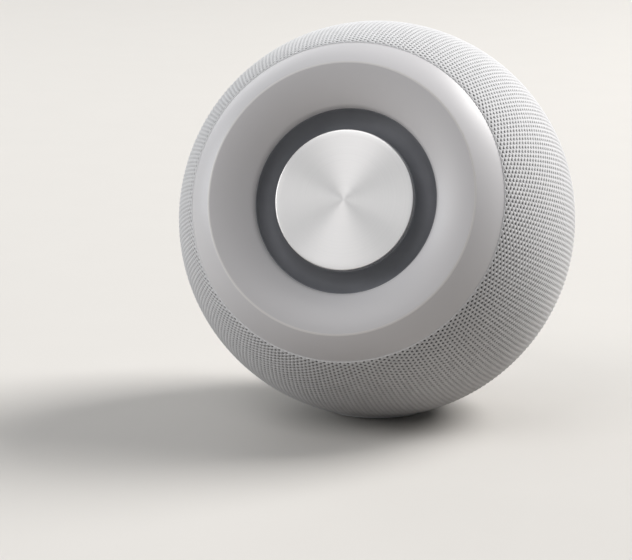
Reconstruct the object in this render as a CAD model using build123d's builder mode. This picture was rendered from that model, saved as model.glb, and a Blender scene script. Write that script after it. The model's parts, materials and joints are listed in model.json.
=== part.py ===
from build123d import *
import os
from math import asin, atan2, cos, degrees, radians, sin, sqrt

# Round smart speaker: a knit ball on a flat foot, with a flared front ring around a passive radiator.
# Millimetres. Origin: centre of the foot's underside. +Z up, front towards -Y and tilted upwards.

# Ball and its skin
ball_radius = 50.0
face_tilt = 18.0
knit_thickness = 1.4
knit_proud = 0.6
seam_gap = 0.15

# Carrier shells under the knit
shell_gap = 0.15
shell_thickness = 1.8
shell_lap = 2.0
slot_width = 3.4
front_slot_count = 30
rear_slot_count = 23
rear_slot_spread = 264.0
front_slot_start = 6.0
front_slot_end = 22.0
rear_slot_start = 4.0
rear_slot_end = 20.0

# Front ring
rim_radius = 39.0
lip_radius = 33.2
lip_sink = 0.75
lip_rounding = 0.9
throat_radius = 22.7
throat_rounding = 0.45
flare_depth = 4.0
flare_throat_slope = 38.0
throat_wall = 1.15
trim_wall = 1.8
bezel_web = 2.3
clamp_width = 4.1

# Passive radiator
plate_radius = 17.2
plate_thickness = 2.0
plate_bevel = 0.35
weight_clearance = 1.0
weight_thickness = 4.0
surround_thickness = 0.7
surround_ledge = 0.5
surround_glue_width = 4.2
frame_clearance = 0.5

# Chamber
baffle_thickness = 3.0
chamber_gap = 1.0
chamber_wall = 2.2
chamber_mouth = 28.5
gasket_thickness = 0.8
gasket_width = 2.6
baffle_ledge = 4.6
front_flange_thickness = 1.0
rear_flange_thickness = 1.35

# Driver
driver_land = 25.9
driver_flange_radius = 22.5
driver_flange_thickness = 1.2
driver_gasket_thickness = 0.6
basket_radius = 17.1
basket_wall = 1.1
basket_depth = 7.1
basket_floor = 1.2
spider_ledge_height = 3.4
spider_ledge_width = 1.8
basket_window_width = 9.0
basket_window_height = 2.4
cone_radius = 12.3
cone_rim = 1.1
cone_thickness = 0.5
cone_depth = 4.3
driver_roll_radius = 2.4
driver_surround_thickness = 0.5
driver_surround_glue = 1.1
spider_thickness = 0.4
spider_wave = 0.5
spider_wave_count = 4
dust_cap_radius = 7.6
dust_cap_rise = 2.0
dust_cap_wall = 0.4
coil_radius = 6.7
coil_wall = 0.4
coil_length = 8.6
magnet_gap = 0.3
top_plate_radius = 12.2
top_plate_thickness = 2.5
magnet_radius = 12.8
magnet_height = 6.0
yoke_thickness = 2.0

# Rear cover, buttons and socket
cover_radius = 24.0
cover_rounding = 0.8
button_radius = 3.8
button_circle = 12.5
button_proud = 0.5
button_travel = 0.5
button_gap = 0.15
button_flange_width = 0.7
button_flange_thickness = 0.8
button_rounding = 0.4
stem_radius = 1.2
stem_length = 1.3
stroke_clearance = 0.05
switch_side = 4.4
switch_height = 1.5
switch_plunger_height = 0.6
button_board_thickness = 1.2
button_board_radius = 18.8
post_count = 3
standoff_count = 4
shell_screw_count = 4
button_spread = 60.0
post_radius = 1.8
post_circle = 16.6
socket_width = 8.94
socket_height = 3.26
socket_wall = 0.35
socket_drop = 12.0
socket_recess = 0.2
socket_floor = 1.0
tongue_width = 6.6
tongue_thickness = 0.7
tongue_setback = 0.8
light_radius = 1.6
light_rounding = 0.3
mic_side = 3.0
mic_height = 1.0
mic_port_radius = 0.5
mic_spread = 5.6
mic_drop = 6.4

# Electronics bay
bay_depth = 7.7
main_board_radius = 30.0
main_board_thickness = 1.6
standoff_length = 4.4
standoff_radius = 2.5
standoff_circle = 26.0
shield_length = 22.0
shield_width = 18.0
shield_height = 2.4
shield_rise = 9.0
spreader_margin = 2.0
spreader_thickness = 1.6
chip_height = 1.2
chip_side = 6.0
chip_spread = 11.0
chip_drop = 14.0
processor_side = 12.0
capacitor_radius = 3.0
capacitor_height = 5.4
capacitor_pitch = 7.4
capacitor_side = 17.0
antenna_width = 14.0
antenna_height = 5.0
antenna_sheet = 0.5
antenna_place = 23.5
ribbon_width = 9.0
ribbon_thickness = 0.3
ribbon_bow = 2.2
ribbon_drop = 11.5
wire_radius = 0.6
wire_pitch = 3.0
wire_bend = 1.8
grommet_inset = 3.0
grommet_radius = 3.4
grommet_lip = 0.9
grommet_lip_thickness = 1.0

# Fasteners
screw_radius = 1.0
screw_head_radius = 1.6
screw_head_height = 0.9
screw_clearance = 0.1
drive_width = 0.5
drive_depth = 0.45
boss_wall = 1.6
thread_depth = 6.0
front_screw_count = 6
front_screw_inset = 2.6
shell_screw_inset = 3.4
seat_rib_width = 5.8
seat_rib_depth = 2.4
driver_screw_count = 4
hook_count = 6
hook_thickness = 1.2
hook_width = 5.0
hook_barb = 0.8
hook_barb_height = 1.1
hook_gap = 0.2
cover_hook_count = 4

# Foot
foot_radius = 11.5
foot_thickness = 1.6
foot_chamfer = 0.4
foot_opening_gap = 0.5
knit_clearance = 0.46
foot_pad_thickness = 3.1
foot_screw_count = 3
foot_screw_circle = 7.0
ballast_radius = 13.5
ballast_thickness = 3.6
ballast_gap = 0.3


def on_ball(radius, angle):
    """Point at an angle above the ball's equator, in the side plane."""
    return (radius * cos(radians(angle)), radius * sin(radians(angle)))


def half_chord(radius, distance):
    """Half the width of a circle at a distance from its centre."""
    return sqrt(radius**2 - distance**2)


def ring_of_points(radius, count, start=0.0):
    """Evenly spaced points on a circle."""
    angles = [radians(start + 360 / count * i) for i in range(count)]
    return [(radius * cos(angle), radius * sin(angle)) for angle in angles]


# Frames of reference: the front axis through the ball's centre, and the direction square to it
foot_opening = foot_radius + foot_opening_gap
ball_centre = Vector(0, 0, half_chord(ball_radius, foot_opening) + knit_clearance)
tilt_sine = sin(radians(face_tilt))
tilt_cosine = cos(radians(face_tilt))
front_direction = Vector(0, -tilt_cosine, tilt_sine)
upper_direction = Vector(0, tilt_sine, tilt_cosine)
face_plane = Plane(origin=ball_centre, x_dir=(1, 0, 0), z_dir=front_direction)
side_plane = Plane(origin=ball_centre, x_dir=(1, 0, 0), z_dir=upper_direction * -1)
face_axis = Axis(ball_centre, front_direction)

# Levels along the front axis, from the lip inwards
knit_inner = ball_radius - knit_thickness
trim_radius = ball_radius - knit_proud
trim_root = trim_radius - trim_wall
rim_level = half_chord(trim_radius, rim_radius)
rim_angle = degrees(atan2(rim_level, rim_radius))
lip_level = half_chord(trim_radius, lip_radius) - lip_sink
throat_level = lip_level - flare_depth
clamp_level = throat_level - throat_wall
frame_level = clamp_level - surround_thickness
seam_angle = degrees(seam_gap / ball_radius)
front_edge_angle = rim_angle - seam_angle
front_flange_top = on_ball(trim_root - seam_gap, front_edge_angle)
baffle_level = front_flange_top[1] - front_flange_thickness
frame_depth = frame_level - baffle_level
gasket_level = baffle_level - baffle_thickness
chamber_front = gasket_level - gasket_thickness

# Levels along the front axis, from the rear cover inwards
cover_level = -half_chord(trim_radius, cover_radius)
cover_angle = -degrees(atan2(-cover_level, cover_radius))
cover_inside = trim_root * sin(radians(cover_angle))
cover_root_radius = trim_root * cos(radians(cover_angle))
stem_level = cover_inside + button_gap + button_flange_thickness + stem_length
switch_level = stem_level + button_travel + stroke_clearance
button_board_rear = switch_level + switch_plunger_height + switch_height
button_board_front = button_board_rear + button_board_thickness
main_board_rear = button_board_front + bay_depth
main_board_front = main_board_rear + main_board_thickness
chamber_rear = main_board_front + standoff_length

# Carrier shells and the seats on them
shell_outer = knit_inner - shell_gap
shell_inner = shell_outer - shell_thickness
shell_middle = (shell_outer + shell_inner) / 2
rear_edge_angle = cover_angle + seam_angle
rear_flange_top = on_ball(trim_root - seam_gap, rear_edge_angle)
baffle_radius = half_chord(shell_inner, baffle_level) - 2 * seam_gap
front_flange_inner = baffle_radius - baffle_ledge
rear_flange_inner = cover_root_radius - 2 * hook_thickness
rear_flange_inside = rear_flange_top[1] + rear_flange_thickness
front_screw_circle = baffle_radius - front_screw_inset
chamber_radius = shell_inner - chamber_gap
chamber_rear_radius = half_chord(chamber_radius, chamber_rear)
shell_screw_circle = chamber_rear_radius - shell_screw_inset
foot_pad_top = foot_thickness + foot_pad_thickness
ballast_top = foot_pad_top + ballast_thickness
foot_screw_seat = foot_thickness + screw_head_height + screw_clearance
screw_hole = screw_radius + screw_clearance
boss_radius = screw_radius + boss_wall

# Radiator sizes that follow from the ring and the plate
frame_bore = throat_radius + frame_clearance
surround_outer = throat_radius + clamp_width
roll_radius = (throat_radius - plate_radius - 2 * surround_ledge + surround_thickness) / 2
roll_centre = (throat_radius + plate_radius) / 2
weight_radius = plate_radius - surround_glue_width - weight_clearance
chamber_floor = ballast_top + ballast_gap

# Driver frame of reference, at the middle of the chamber
driver_level = (chamber_front + chamber_rear) / 2
driver_centre = ball_centre + front_direction * driver_level
driver_plane = Plane(origin=driver_centre, x_dir=(1, 0, 0), z_dir=upper_direction)
driver_side_plane = Plane(origin=driver_centre, x_dir=(1, 0, 0), z_dir=front_direction)
driver_axis = Axis(driver_centre, upper_direction)
driver_seat = half_chord(chamber_radius, driver_land)
flange_bottom = driver_seat + driver_gasket_thickness
flange_top = flange_bottom + driver_flange_thickness
basket_bottom = flange_bottom - basket_depth
spider_level = basket_bottom + spider_ledge_height
driver_screw_circle = (basket_radius + driver_flange_radius) / 2 + 2 * drive_width

# Places shared by several pieces
front_screw_places = ring_of_points(front_screw_circle, front_screw_count)
hook_start = 180 / hook_count
shell_screw_places = ring_of_points(shell_screw_circle, shell_screw_count, 180 / shell_screw_count)
standoff_places = ring_of_points(standoff_circle, standoff_count, 180 / standoff_count)
post_places = ring_of_points(post_circle, post_count, 90 / post_count)
driver_screw_places = ring_of_points(driver_screw_circle, driver_screw_count, 180 / driver_screw_count)
foot_screw_places = ring_of_points(foot_screw_circle, foot_screw_count)
button_angle = radians(button_spread)
button_places = {
    "volume_down_button": (button_circle, 0),
    "mute_button": (button_circle * cos(button_angle), button_circle * sin(button_angle)),
    "action_button": (-button_circle * cos(button_angle), button_circle * sin(button_angle)),
    "volume_up_button": (-button_circle, 0),
}
mic_places = [(-mic_spread, -mic_drop), (mic_spread, -mic_drop)]
rib_inner = shell_screw_circle - seat_rib_width / 2
wire_exit = rib_inner - grommet_radius - grommet_lip - grommet_inset
wire_places = [(-wire_pitch / 2, wire_exit), (wire_pitch / 2, wire_exit)]

os.makedirs("parts", exist_ok=True)


def save(part, name):
    """Label a finished piece and write it."""
    part.label = name
    export_step(part, f"parts/{name}.step")


def screw_group(seat, places, length):
    """Pan-head screws on a seat plane, heads above it and shanks below."""
    with BuildPart() as group:
        with BuildSketch(seat):
            with Locations(*places):
                Circle(screw_head_radius)
        extrude(amount=screw_head_height)
        with BuildSketch(seat):
            with Locations(*places):
                Circle(screw_radius)
        extrude(amount=-length)
        with BuildSketch(seat.offset(screw_head_height)):
            with Locations(*places):
                Rectangle(screw_head_radius * 1.3, drive_width)
                Rectangle(drive_width, screw_head_radius * 1.3)
        extrude(amount=-drive_depth, mode=Mode.SUBTRACT)
    return group.part


def rear_facing(level):
    """Plane square to the front axis that looks backwards."""
    return Plane(origin=ball_centre + front_direction * level, x_dir=(1, 0, 0), z_dir=front_direction * -1)


def pegs(plane, places, radius, height):
    """Round pegs standing on a plane, or hanging from it, for bosses and for holes."""
    with BuildPart() as group:
        with BuildSketch(plane):
            with Locations(*places):
                Circle(radius)
        extrude(amount=height)
    return group.part


def half_roll(plane, axis, centre, middle, radius, thickness, inner, outer, bulge):
    """Rubber ring with a half-round roll between two glue flanges, bulging up (1) or down (-1)."""
    far = middle + bulge * thickness / 2
    near = middle - bulge * thickness / 2
    large = radius + thickness / 2
    small = radius - thickness / 2
    reach = half_chord(large, thickness / 2)
    with BuildPart() as ring:
        with BuildSketch(plane):
            with BuildLine():
                crown = (centre, middle + bulge * large)
                ThreePointArc((centre - reach, far), crown, (centre + reach, far))
                Polyline(
                    (centre + reach, far),
                    (outer, far),
                    (outer, near),
                    (centre + small, near),
                    (centre + small, middle),
                )
                ThreePointArc(
                    (centre + small, middle),
                    (centre, middle + bulge * small),
                    (centre - small, middle),
                )
                Polyline(
                    (centre - small, middle),
                    (centre - small, near),
                    (inner, near),
                    (inner, far),
                    (centre - reach, far),
                )
            make_face()
        revolve(axis=axis)
    return ring.part


def chamber_form(radius, rear, front, seat, floor):
    """Ball cut flat in front, behind, at the driver's seat and above the base weight."""
    start = degrees(asin(rear / radius))
    end = degrees(asin(front / radius))
    with BuildPart() as form:
        with BuildSketch(side_plane):
            with BuildLine():
                wall = CenterArc((0, 0), radius, start, end - start)
                Polyline(wall @ 1, (0, front), (0, rear), wall @ 0)
            make_face()
        revolve(axis=face_axis)
        split(bisect_by=driver_plane.offset(seat), keep=Keep.BOTTOM)
        split(bisect_by=Plane.XY.offset(floor), keep=Keep.TOP)
    return form.part


# Knit sleeve
with BuildPart() as knit_sleeve:
    with BuildSketch(side_plane):
        with BuildLine():
            sweep_angle = rear_edge_angle - front_edge_angle
            outside = CenterArc((0, 0), ball_radius, front_edge_angle, sweep_angle)
            inside = CenterArc((0, 0), knit_inner, front_edge_angle, sweep_angle)
            Line(outside @ 0, inside @ 0)
            Line(outside @ 1, inside @ 1)
        make_face()
    revolve(axis=face_axis)
    with BuildSketch(Plane.XY.offset(-foot_thickness)):
        Circle(foot_opening)
    extrude(amount=2 * foot_pad_top, mode=Mode.SUBTRACT)
save(knit_sleeve.part, "knit_sleeve")


# Front carrier shell with its inner flange
with BuildPart() as grille_shell_front:
    with BuildSketch(side_plane):
        with BuildLine():
            lap_outer = (half_chord(shell_middle, shell_lap), shell_lap)
            outside = CenterArc((0, 0), shell_outer, 0, front_edge_angle)
            inner_start = degrees(asin(shell_lap / shell_inner))
            inner_end = degrees(asin(baffle_level / shell_inner))
            inside = CenterArc((0, 0), shell_inner, inner_start, inner_end - inner_start)
            Polyline(
                outside @ 1,
                front_flange_top,
                (front_flange_inner, front_flange_top[1]),
                (front_flange_inner, baffle_level),
                inside @ 1,
            )
            Polyline(inside @ 0, lap_outer, (shell_middle, 0), outside @ 0)
        make_face()
    revolve(axis=face_axis)
    flange_face = face_plane.offset(front_flange_top[1])
    add(pegs(flange_face, front_screw_places, screw_hole, -2 * shell_thickness), mode=Mode.SUBTRACT)
    with BuildSketch(face_plane.offset(front_slot_start)):
        with PolarLocations(shell_inner - 2 * shell_thickness, front_slot_count):
            Rectangle(6 * shell_thickness, slot_width)
    extrude(amount=front_slot_end - front_slot_start, mode=Mode.SUBTRACT)
save(grille_shell_front.part, "grille_shell_front")


# Rear carrier shell with the chamber seat, the cover flange and the foot pad
with BuildPart() as grille_shell_rear:
    with BuildSketch(side_plane):
        with BuildLine():
            lap_radius = shell_middle - seam_gap
            lap_level = shell_lap - seam_gap
            outside = CenterArc((0, 0), shell_outer, 0, rear_edge_angle)
            inner_start = degrees(asin(lap_level / shell_inner))
            inner_end = degrees(asin(rear_flange_inside / shell_inner))
            inside = CenterArc((0, 0), shell_inner, inner_start, inner_end - inner_start)
            Polyline(
                outside @ 1,
                rear_flange_top,
                (rear_flange_inner, rear_flange_top[1]),
                (rear_flange_inner, rear_flange_inside),
                inside @ 1,
            )
            Polyline(inside @ 0, (lap_radius, lap_level), (lap_radius, 0), outside @ 0)
        make_face()
    revolve(axis=face_axis)
    with BuildSketch(side_plane):
        with BuildLine():
            rib_rear = chamber_rear - seat_rib_depth
            Polyline(
                (rib_inner, chamber_rear),
                (half_chord(shell_middle, chamber_rear), chamber_rear),
                (half_chord(shell_middle, rib_rear), rib_rear),
                (rib_inner, rib_rear),
                close=True,
            )
        make_face()
    revolve(axis=face_axis)
    rib_face = face_plane.offset(chamber_rear)
    add(pegs(rib_face, shell_screw_places, screw_hole, -2 * seat_rib_depth), mode=Mode.SUBTRACT)
    with BuildSketch(face_plane.offset(-rear_slot_start)):
        with PolarLocations(
            shell_inner - 2 * shell_thickness,
            rear_slot_count,
            start_angle=90 - rear_slot_spread / 2,
            angular_range=rear_slot_spread,
            endpoint=True,
        ):
            Rectangle(6 * shell_thickness, slot_width)
    extrude(amount=rear_slot_start - rear_slot_end, mode=Mode.SUBTRACT)
    with BuildSketch(Plane.XY.offset(-foot_thickness)):
        Circle(foot_radius)
    extrude(amount=2 * foot_thickness, mode=Mode.SUBTRACT)
    with BuildSketch(Plane.XY.offset(foot_thickness)):
        Circle(foot_radius)
    extrude(amount=foot_pad_thickness)
    with BuildSketch(Plane.XY.offset(foot_pad_top)):
        Circle(ballast_radius + foot_opening_gap)
    extrude(amount=4 * ballast_thickness, mode=Mode.SUBTRACT)
    pad_face = Plane.XY.offset(foot_pad_top)
    add(pegs(pad_face, foot_screw_places, screw_hole, -foot_pad_thickness), mode=Mode.SUBTRACT)
    head_seat = Plane.XY.offset(foot_screw_seat)
    head_hole = screw_head_radius + screw_clearance
    add(pegs(head_seat, foot_screw_places, head_hole, -foot_pad_thickness), mode=Mode.SUBTRACT)
save(grille_shell_rear.part, "grille_shell_rear")


# Flared front ring with its snap hooks
hook_root = front_flange_inner - hook_gap - hook_thickness / 2
hook_tip = baffle_level - hook_gap - hook_barb_height
with BuildPart() as front_bezel:
    with BuildSketch(side_plane):
        with BuildLine():
            lip = (lip_radius, lip_level)
            throat = (throat_radius, throat_level)
            clamp_edge = throat_radius + clamp_width
            shoulder = (lip_radius - bezel_web, lip_level - bezel_web)
            slope = CenterArc((0, 0), trim_radius, rim_angle, seam_angle)
            rim_face = Line(on_ball(trim_radius, rim_angle), on_ball(trim_root, rim_angle))
            Polyline(
                rim_face @ 1,
                shoulder,
                (clamp_edge, clamp_level + throat_wall),
                (clamp_edge, clamp_level),
                (throat_radius, clamp_level),
                throat,
            )
            flare_tangent = (cos(radians(flare_throat_slope)), sin(radians(flare_throat_slope)))
            TangentArc(throat, lip, tangent=flare_tangent)
            TangentArc(slope @ 1, lip, tangent=slope % 1)
        make_face()
        lip_corner = vertices().sort_by_distance(lip)[0]
        fillet(lip_corner, lip_rounding)
        throat_corner = vertices().sort_by_distance(throat)[0]
        fillet(throat_corner, throat_rounding)
    revolve(axis=face_axis)
    with BuildSketch(face_plane.offset(hook_tip)):
        with PolarLocations(hook_root, hook_count, start_angle=hook_start):
            Rectangle(hook_thickness, hook_width)
    extrude(amount=shoulder[1] - hook_tip)
    with BuildSketch(face_plane.offset(hook_tip)):
        with PolarLocations(hook_root + hook_barb / 2, hook_count, start_angle=hook_start):
            Rectangle(hook_thickness + hook_barb, hook_width)
    extrude(amount=hook_barb_height)
save(front_bezel.part, "front_bezel")


# Radiator frame under the surround's flange
with BuildPart() as radiator_frame:
    with BuildSketch(face_plane.offset(baffle_level)):
        Circle(surround_outer)
        Circle(frame_bore, mode=Mode.SUBTRACT)
    extrude(amount=frame_depth)
save(radiator_frame.part, "radiator_frame")


# Radiator surround: a rubber groove between the ring and the plate
with BuildPart() as radiator_surround:
    add(
        half_roll(
            side_plane,
            face_axis,
            roll_centre,
            clamp_level - surround_thickness / 2,
            roll_radius,
            surround_thickness,
            plate_radius - surround_glue_width,
            surround_outer,
            -1,
        )
    )
save(radiator_surround.part, "radiator_surround")


# Radiator plate with a bevelled edge
with BuildPart() as radiator_plate:
    with BuildSketch(face_plane.offset(clamp_level)):
        Circle(plate_radius)
    extrude(amount=plate_thickness)
    chamfer(edges().sort_by(face_axis)[-1], plate_bevel)
save(radiator_plate.part, "radiator_plate")


# Tuning weight behind the plate
with BuildPart() as radiator_weight:
    with BuildSketch(face_plane.offset(clamp_level)):
        Circle(weight_radius)
    extrude(amount=-weight_thickness)
    chamfer(edges().sort_by(face_axis)[0], plate_bevel)
save(radiator_weight.part, "radiator_weight")


# Front baffle with pockets for the ring's hooks
with BuildPart() as front_baffle:
    with BuildSketch(face_plane.offset(gasket_level)):
        Circle(baffle_radius)
        Circle(frame_bore, mode=Mode.SUBTRACT)
    extrude(amount=baffle_thickness)
    baffle_face = face_plane.offset(baffle_level)
    add(pegs(baffle_face, front_screw_places, screw_hole, -baffle_thickness), mode=Mode.SUBTRACT)
    with BuildSketch(baffle_face):
        with PolarLocations(hook_root + hook_barb / 2, hook_count, start_angle=hook_start):
            Rectangle(hook_thickness + hook_barb + 2 * hook_gap, hook_width + 2 * hook_gap)
    extrude(amount=hook_tip - baffle_level - hook_gap, mode=Mode.SUBTRACT)
save(front_baffle.part, "front_baffle")


# Foam gasket between the baffle and the chamber
with BuildPart() as chamber_gasket:
    with BuildSketch(face_plane.offset(chamber_front)):
        Circle(chamber_mouth + gasket_width)
        Circle(chamber_mouth, mode=Mode.SUBTRACT)
    extrude(amount=gasket_thickness)
save(chamber_gasket.part, "chamber_gasket")


# Acoustic chamber
with BuildPart() as acoustic_chamber:
    add(chamber_form(chamber_radius, chamber_rear, chamber_front, driver_seat, chamber_floor))
    add(
        chamber_form(
            chamber_radius - chamber_wall,
            chamber_rear + chamber_wall,
            chamber_front - chamber_wall,
            driver_seat - chamber_wall,
            chamber_floor + chamber_wall,
        ),
        mode=Mode.SUBTRACT,
    )
    front_face = face_plane.offset(chamber_front)
    rear_face = face_plane.offset(chamber_rear)
    seat_face = driver_plane.offset(driver_seat)
    standoff_face = face_plane.offset(main_board_front)
    add(pegs(front_face, front_screw_places, boss_radius, -thread_depth - chamber_wall))
    add(pegs(rear_face, shell_screw_places, boss_radius, thread_depth + chamber_wall))
    add(pegs(seat_face, driver_screw_places, boss_radius, -thread_depth - chamber_wall))
    add(pegs(standoff_face, standoff_places, standoff_radius, standoff_length))
    add(pegs(front_face, [(0, 0)], chamber_mouth, -chamber_wall), mode=Mode.SUBTRACT)
    add(pegs(seat_face, [(0, 0)], basket_radius + button_gap, -chamber_wall), mode=Mode.SUBTRACT)
    add(pegs(rear_face, [(0, wire_exit)], grommet_radius, chamber_wall), mode=Mode.SUBTRACT)
    add(pegs(front_face, front_screw_places, screw_hole, -thread_depth), mode=Mode.SUBTRACT)
    add(pegs(rear_face, shell_screw_places, screw_hole, thread_depth), mode=Mode.SUBTRACT)
    add(pegs(seat_face, driver_screw_places, screw_hole, -thread_depth), mode=Mode.SUBTRACT)
    add(pegs(standoff_face, standoff_places, screw_hole, standoff_length), mode=Mode.SUBTRACT)
save(acoustic_chamber.part, "acoustic_chamber")


# Screws through the front flange and the baffle into the chamber
front_seat = front_flange_top[1]
front_screw_length = front_seat - chamber_front + thread_depth - 2 * hook_gap
save(screw_group(face_plane.offset(front_seat), front_screw_places, front_screw_length), "front_screws")


# Driver gasket
with BuildPart() as driver_gasket:
    with BuildSketch(driver_plane.offset(driver_seat)):
        Circle(driver_flange_radius)
        Circle(basket_radius + button_gap, mode=Mode.SUBTRACT)
        with Locations(*driver_screw_places):
            Circle(screw_hole, mode=Mode.SUBTRACT)
    extrude(amount=driver_gasket_thickness)
save(driver_gasket.part, "driver_gasket")


# Driver basket with windows and a ledge for the spider
ledge_inner = top_plate_radius + button_gap
ledge_outer = ledge_inner + spider_ledge_width
coil_bore = coil_radius + coil_wall + 3 * magnet_gap
with BuildPart() as driver_basket:
    with BuildSketch(driver_side_plane):
        with BuildLine():
            Polyline(
                (basket_radius - basket_wall, flange_top),
                (driver_flange_radius, flange_top),
                (driver_flange_radius, flange_bottom),
                (basket_radius, flange_bottom),
                (ledge_outer + basket_wall, spider_level - basket_wall),
                (ledge_inner + basket_wall, basket_bottom),
                (coil_bore, basket_bottom),
                (coil_bore, basket_bottom + basket_floor),
                (ledge_inner, basket_bottom + basket_floor),
                (ledge_inner, spider_level),
                (ledge_outer, spider_level),
                close=True,
            )
        make_face()
    revolve(axis=driver_axis)
    with BuildSketch(driver_plane.offset(flange_bottom - driver_gasket_thickness)):
        with PolarLocations(basket_radius, 4):
            Rectangle(4 * spider_ledge_width, basket_window_width)
    extrude(amount=-basket_window_height, mode=Mode.SUBTRACT)
    flange_face = driver_plane.offset(flange_top)
    add(pegs(flange_face, driver_screw_places, screw_hole, -driver_flange_thickness), mode=Mode.SUBTRACT)
save(driver_basket.part, "driver_basket")
driver_screw_length = driver_flange_thickness + driver_gasket_thickness + thread_depth - 2 * hook_gap
driver_head_seat = driver_plane.offset(flange_top)
save(screw_group(driver_head_seat, driver_screw_places, driver_screw_length), "driver_screws")


# Driver surround: a rubber roll between the cone's rim and the basket
driver_roll_centre = cone_radius + driver_roll_radius
driver_roll_reach = driver_roll_radius + driver_surround_thickness / 2
with BuildPart() as driver_surround:
    add(
        half_roll(
            driver_side_plane,
            driver_axis,
            driver_roll_centre,
            flange_top + driver_surround_thickness / 2,
            driver_roll_radius,
            driver_surround_thickness,
            driver_roll_centre - driver_roll_reach - driver_surround_glue,
            driver_roll_centre + driver_roll_reach + driver_surround_glue,
            1,
        )
    )
save(driver_surround.part, "driver_surround")


# Driver cone, glued to the coil at its neck
cone_neck = coil_radius + stroke_clearance
cone_foot = flange_top - cone_depth
with BuildPart() as driver_cone:
    with BuildSketch(driver_side_plane):
        with BuildLine():
            Polyline(
                (cone_radius, flange_top),
                (cone_radius, flange_top - cone_thickness),
                (cone_radius - cone_rim + cone_thickness, flange_top - cone_thickness),
                (cone_neck, cone_foot),
                (cone_neck, cone_foot + cone_thickness),
                (cone_radius - cone_rim, flange_top),
                close=True,
            )
        make_face()
    revolve(axis=driver_axis)
save(driver_cone.part, "driver_cone")


# Dust cap, seated on the cone
cone_slope = (cone_depth - cone_thickness) / (cone_radius - cone_rim - cone_neck)
cap_edge = cone_foot + cone_thickness + stroke_clearance + (dust_cap_radius - cone_neck) * cone_slope
with BuildPart() as driver_dust_cap:
    with BuildSketch(driver_side_plane):
        with BuildLine():
            cap_top = (0, cap_edge + dust_cap_rise)
            cap_under = (0, cap_edge + dust_cap_rise - dust_cap_wall)
            edge_outer = (dust_cap_radius, cap_edge)
            edge_inner = (dust_cap_radius - dust_cap_wall, cap_edge - dust_cap_wall * cone_slope)
            TangentArc(cap_top, edge_outer, tangent=(1, 0))
            TangentArc(cap_under, edge_inner, tangent=(1, 0))
            Line(edge_outer, edge_inner)
            Line(cap_top, cap_under)
        make_face()
    revolve(axis=driver_axis)
save(driver_dust_cap.part, "driver_dust_cap")


# Voice coil on its former
with BuildPart() as driver_voice_coil:
    with BuildSketch(driver_plane.offset(cone_foot + cone_thickness)):
        Circle(coil_radius)
        Circle(coil_radius - coil_wall, mode=Mode.SUBTRACT)
    extrude(amount=-coil_length)
save(driver_voice_coil.part, "driver_voice_coil")


# Corrugated spider between the coil and the basket's ledge
with BuildPart() as driver_spider:
    with BuildSketch(driver_side_plane):
        with BuildLine():
            wave_start = coil_radius + 2 * spider_thickness
            wave_step = (ledge_inner - spider_thickness - wave_start) / (2 * spider_wave_count)
            wave_points = [
                (wave_start + wave_step * i, spider_level + spider_wave * (i % 2))
                for i in range(2 * spider_wave_count + 1)
            ]
            inner_point = (coil_radius + stroke_clearance, spider_level)
            outer_point = (ledge_outer - stroke_clearance, spider_level)
            lower_side = [inner_point] + wave_points + [outer_point]
            upper_side = [(r, h + spider_thickness) for r, h in reversed(lower_side)]
            Polyline(*lower_side, *upper_side, close=True)
        make_face()
    revolve(axis=driver_axis)
save(driver_spider.part, "driver_spider")


# Motor: top plate, magnet and yoke
magnet_top = basket_bottom - top_plate_thickness
magnet_bottom = magnet_top - magnet_height
with BuildPart() as driver_top_plate:
    with BuildSketch(driver_plane.offset(magnet_top)):
        Circle(top_plate_radius)
        Circle(coil_radius + magnet_gap, mode=Mode.SUBTRACT)
    extrude(amount=top_plate_thickness)
save(driver_top_plate.part, "driver_top_plate")

with BuildPart() as driver_magnet:
    with BuildSketch(driver_plane.offset(magnet_bottom)):
        Circle(magnet_radius)
        Circle(coil_bore, mode=Mode.SUBTRACT)
    extrude(amount=magnet_height)
save(driver_magnet.part, "driver_magnet")

with BuildPart() as driver_yoke:
    with BuildSketch(driver_plane.offset(magnet_bottom)):
        Circle(top_plate_radius)
    extrude(amount=-yoke_thickness)
    with BuildSketch(driver_plane.offset(magnet_bottom)):
        Circle(coil_radius - coil_wall - magnet_gap)
    extrude(amount=magnet_height + top_plate_thickness)
save(driver_yoke.part, "driver_yoke")


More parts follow.
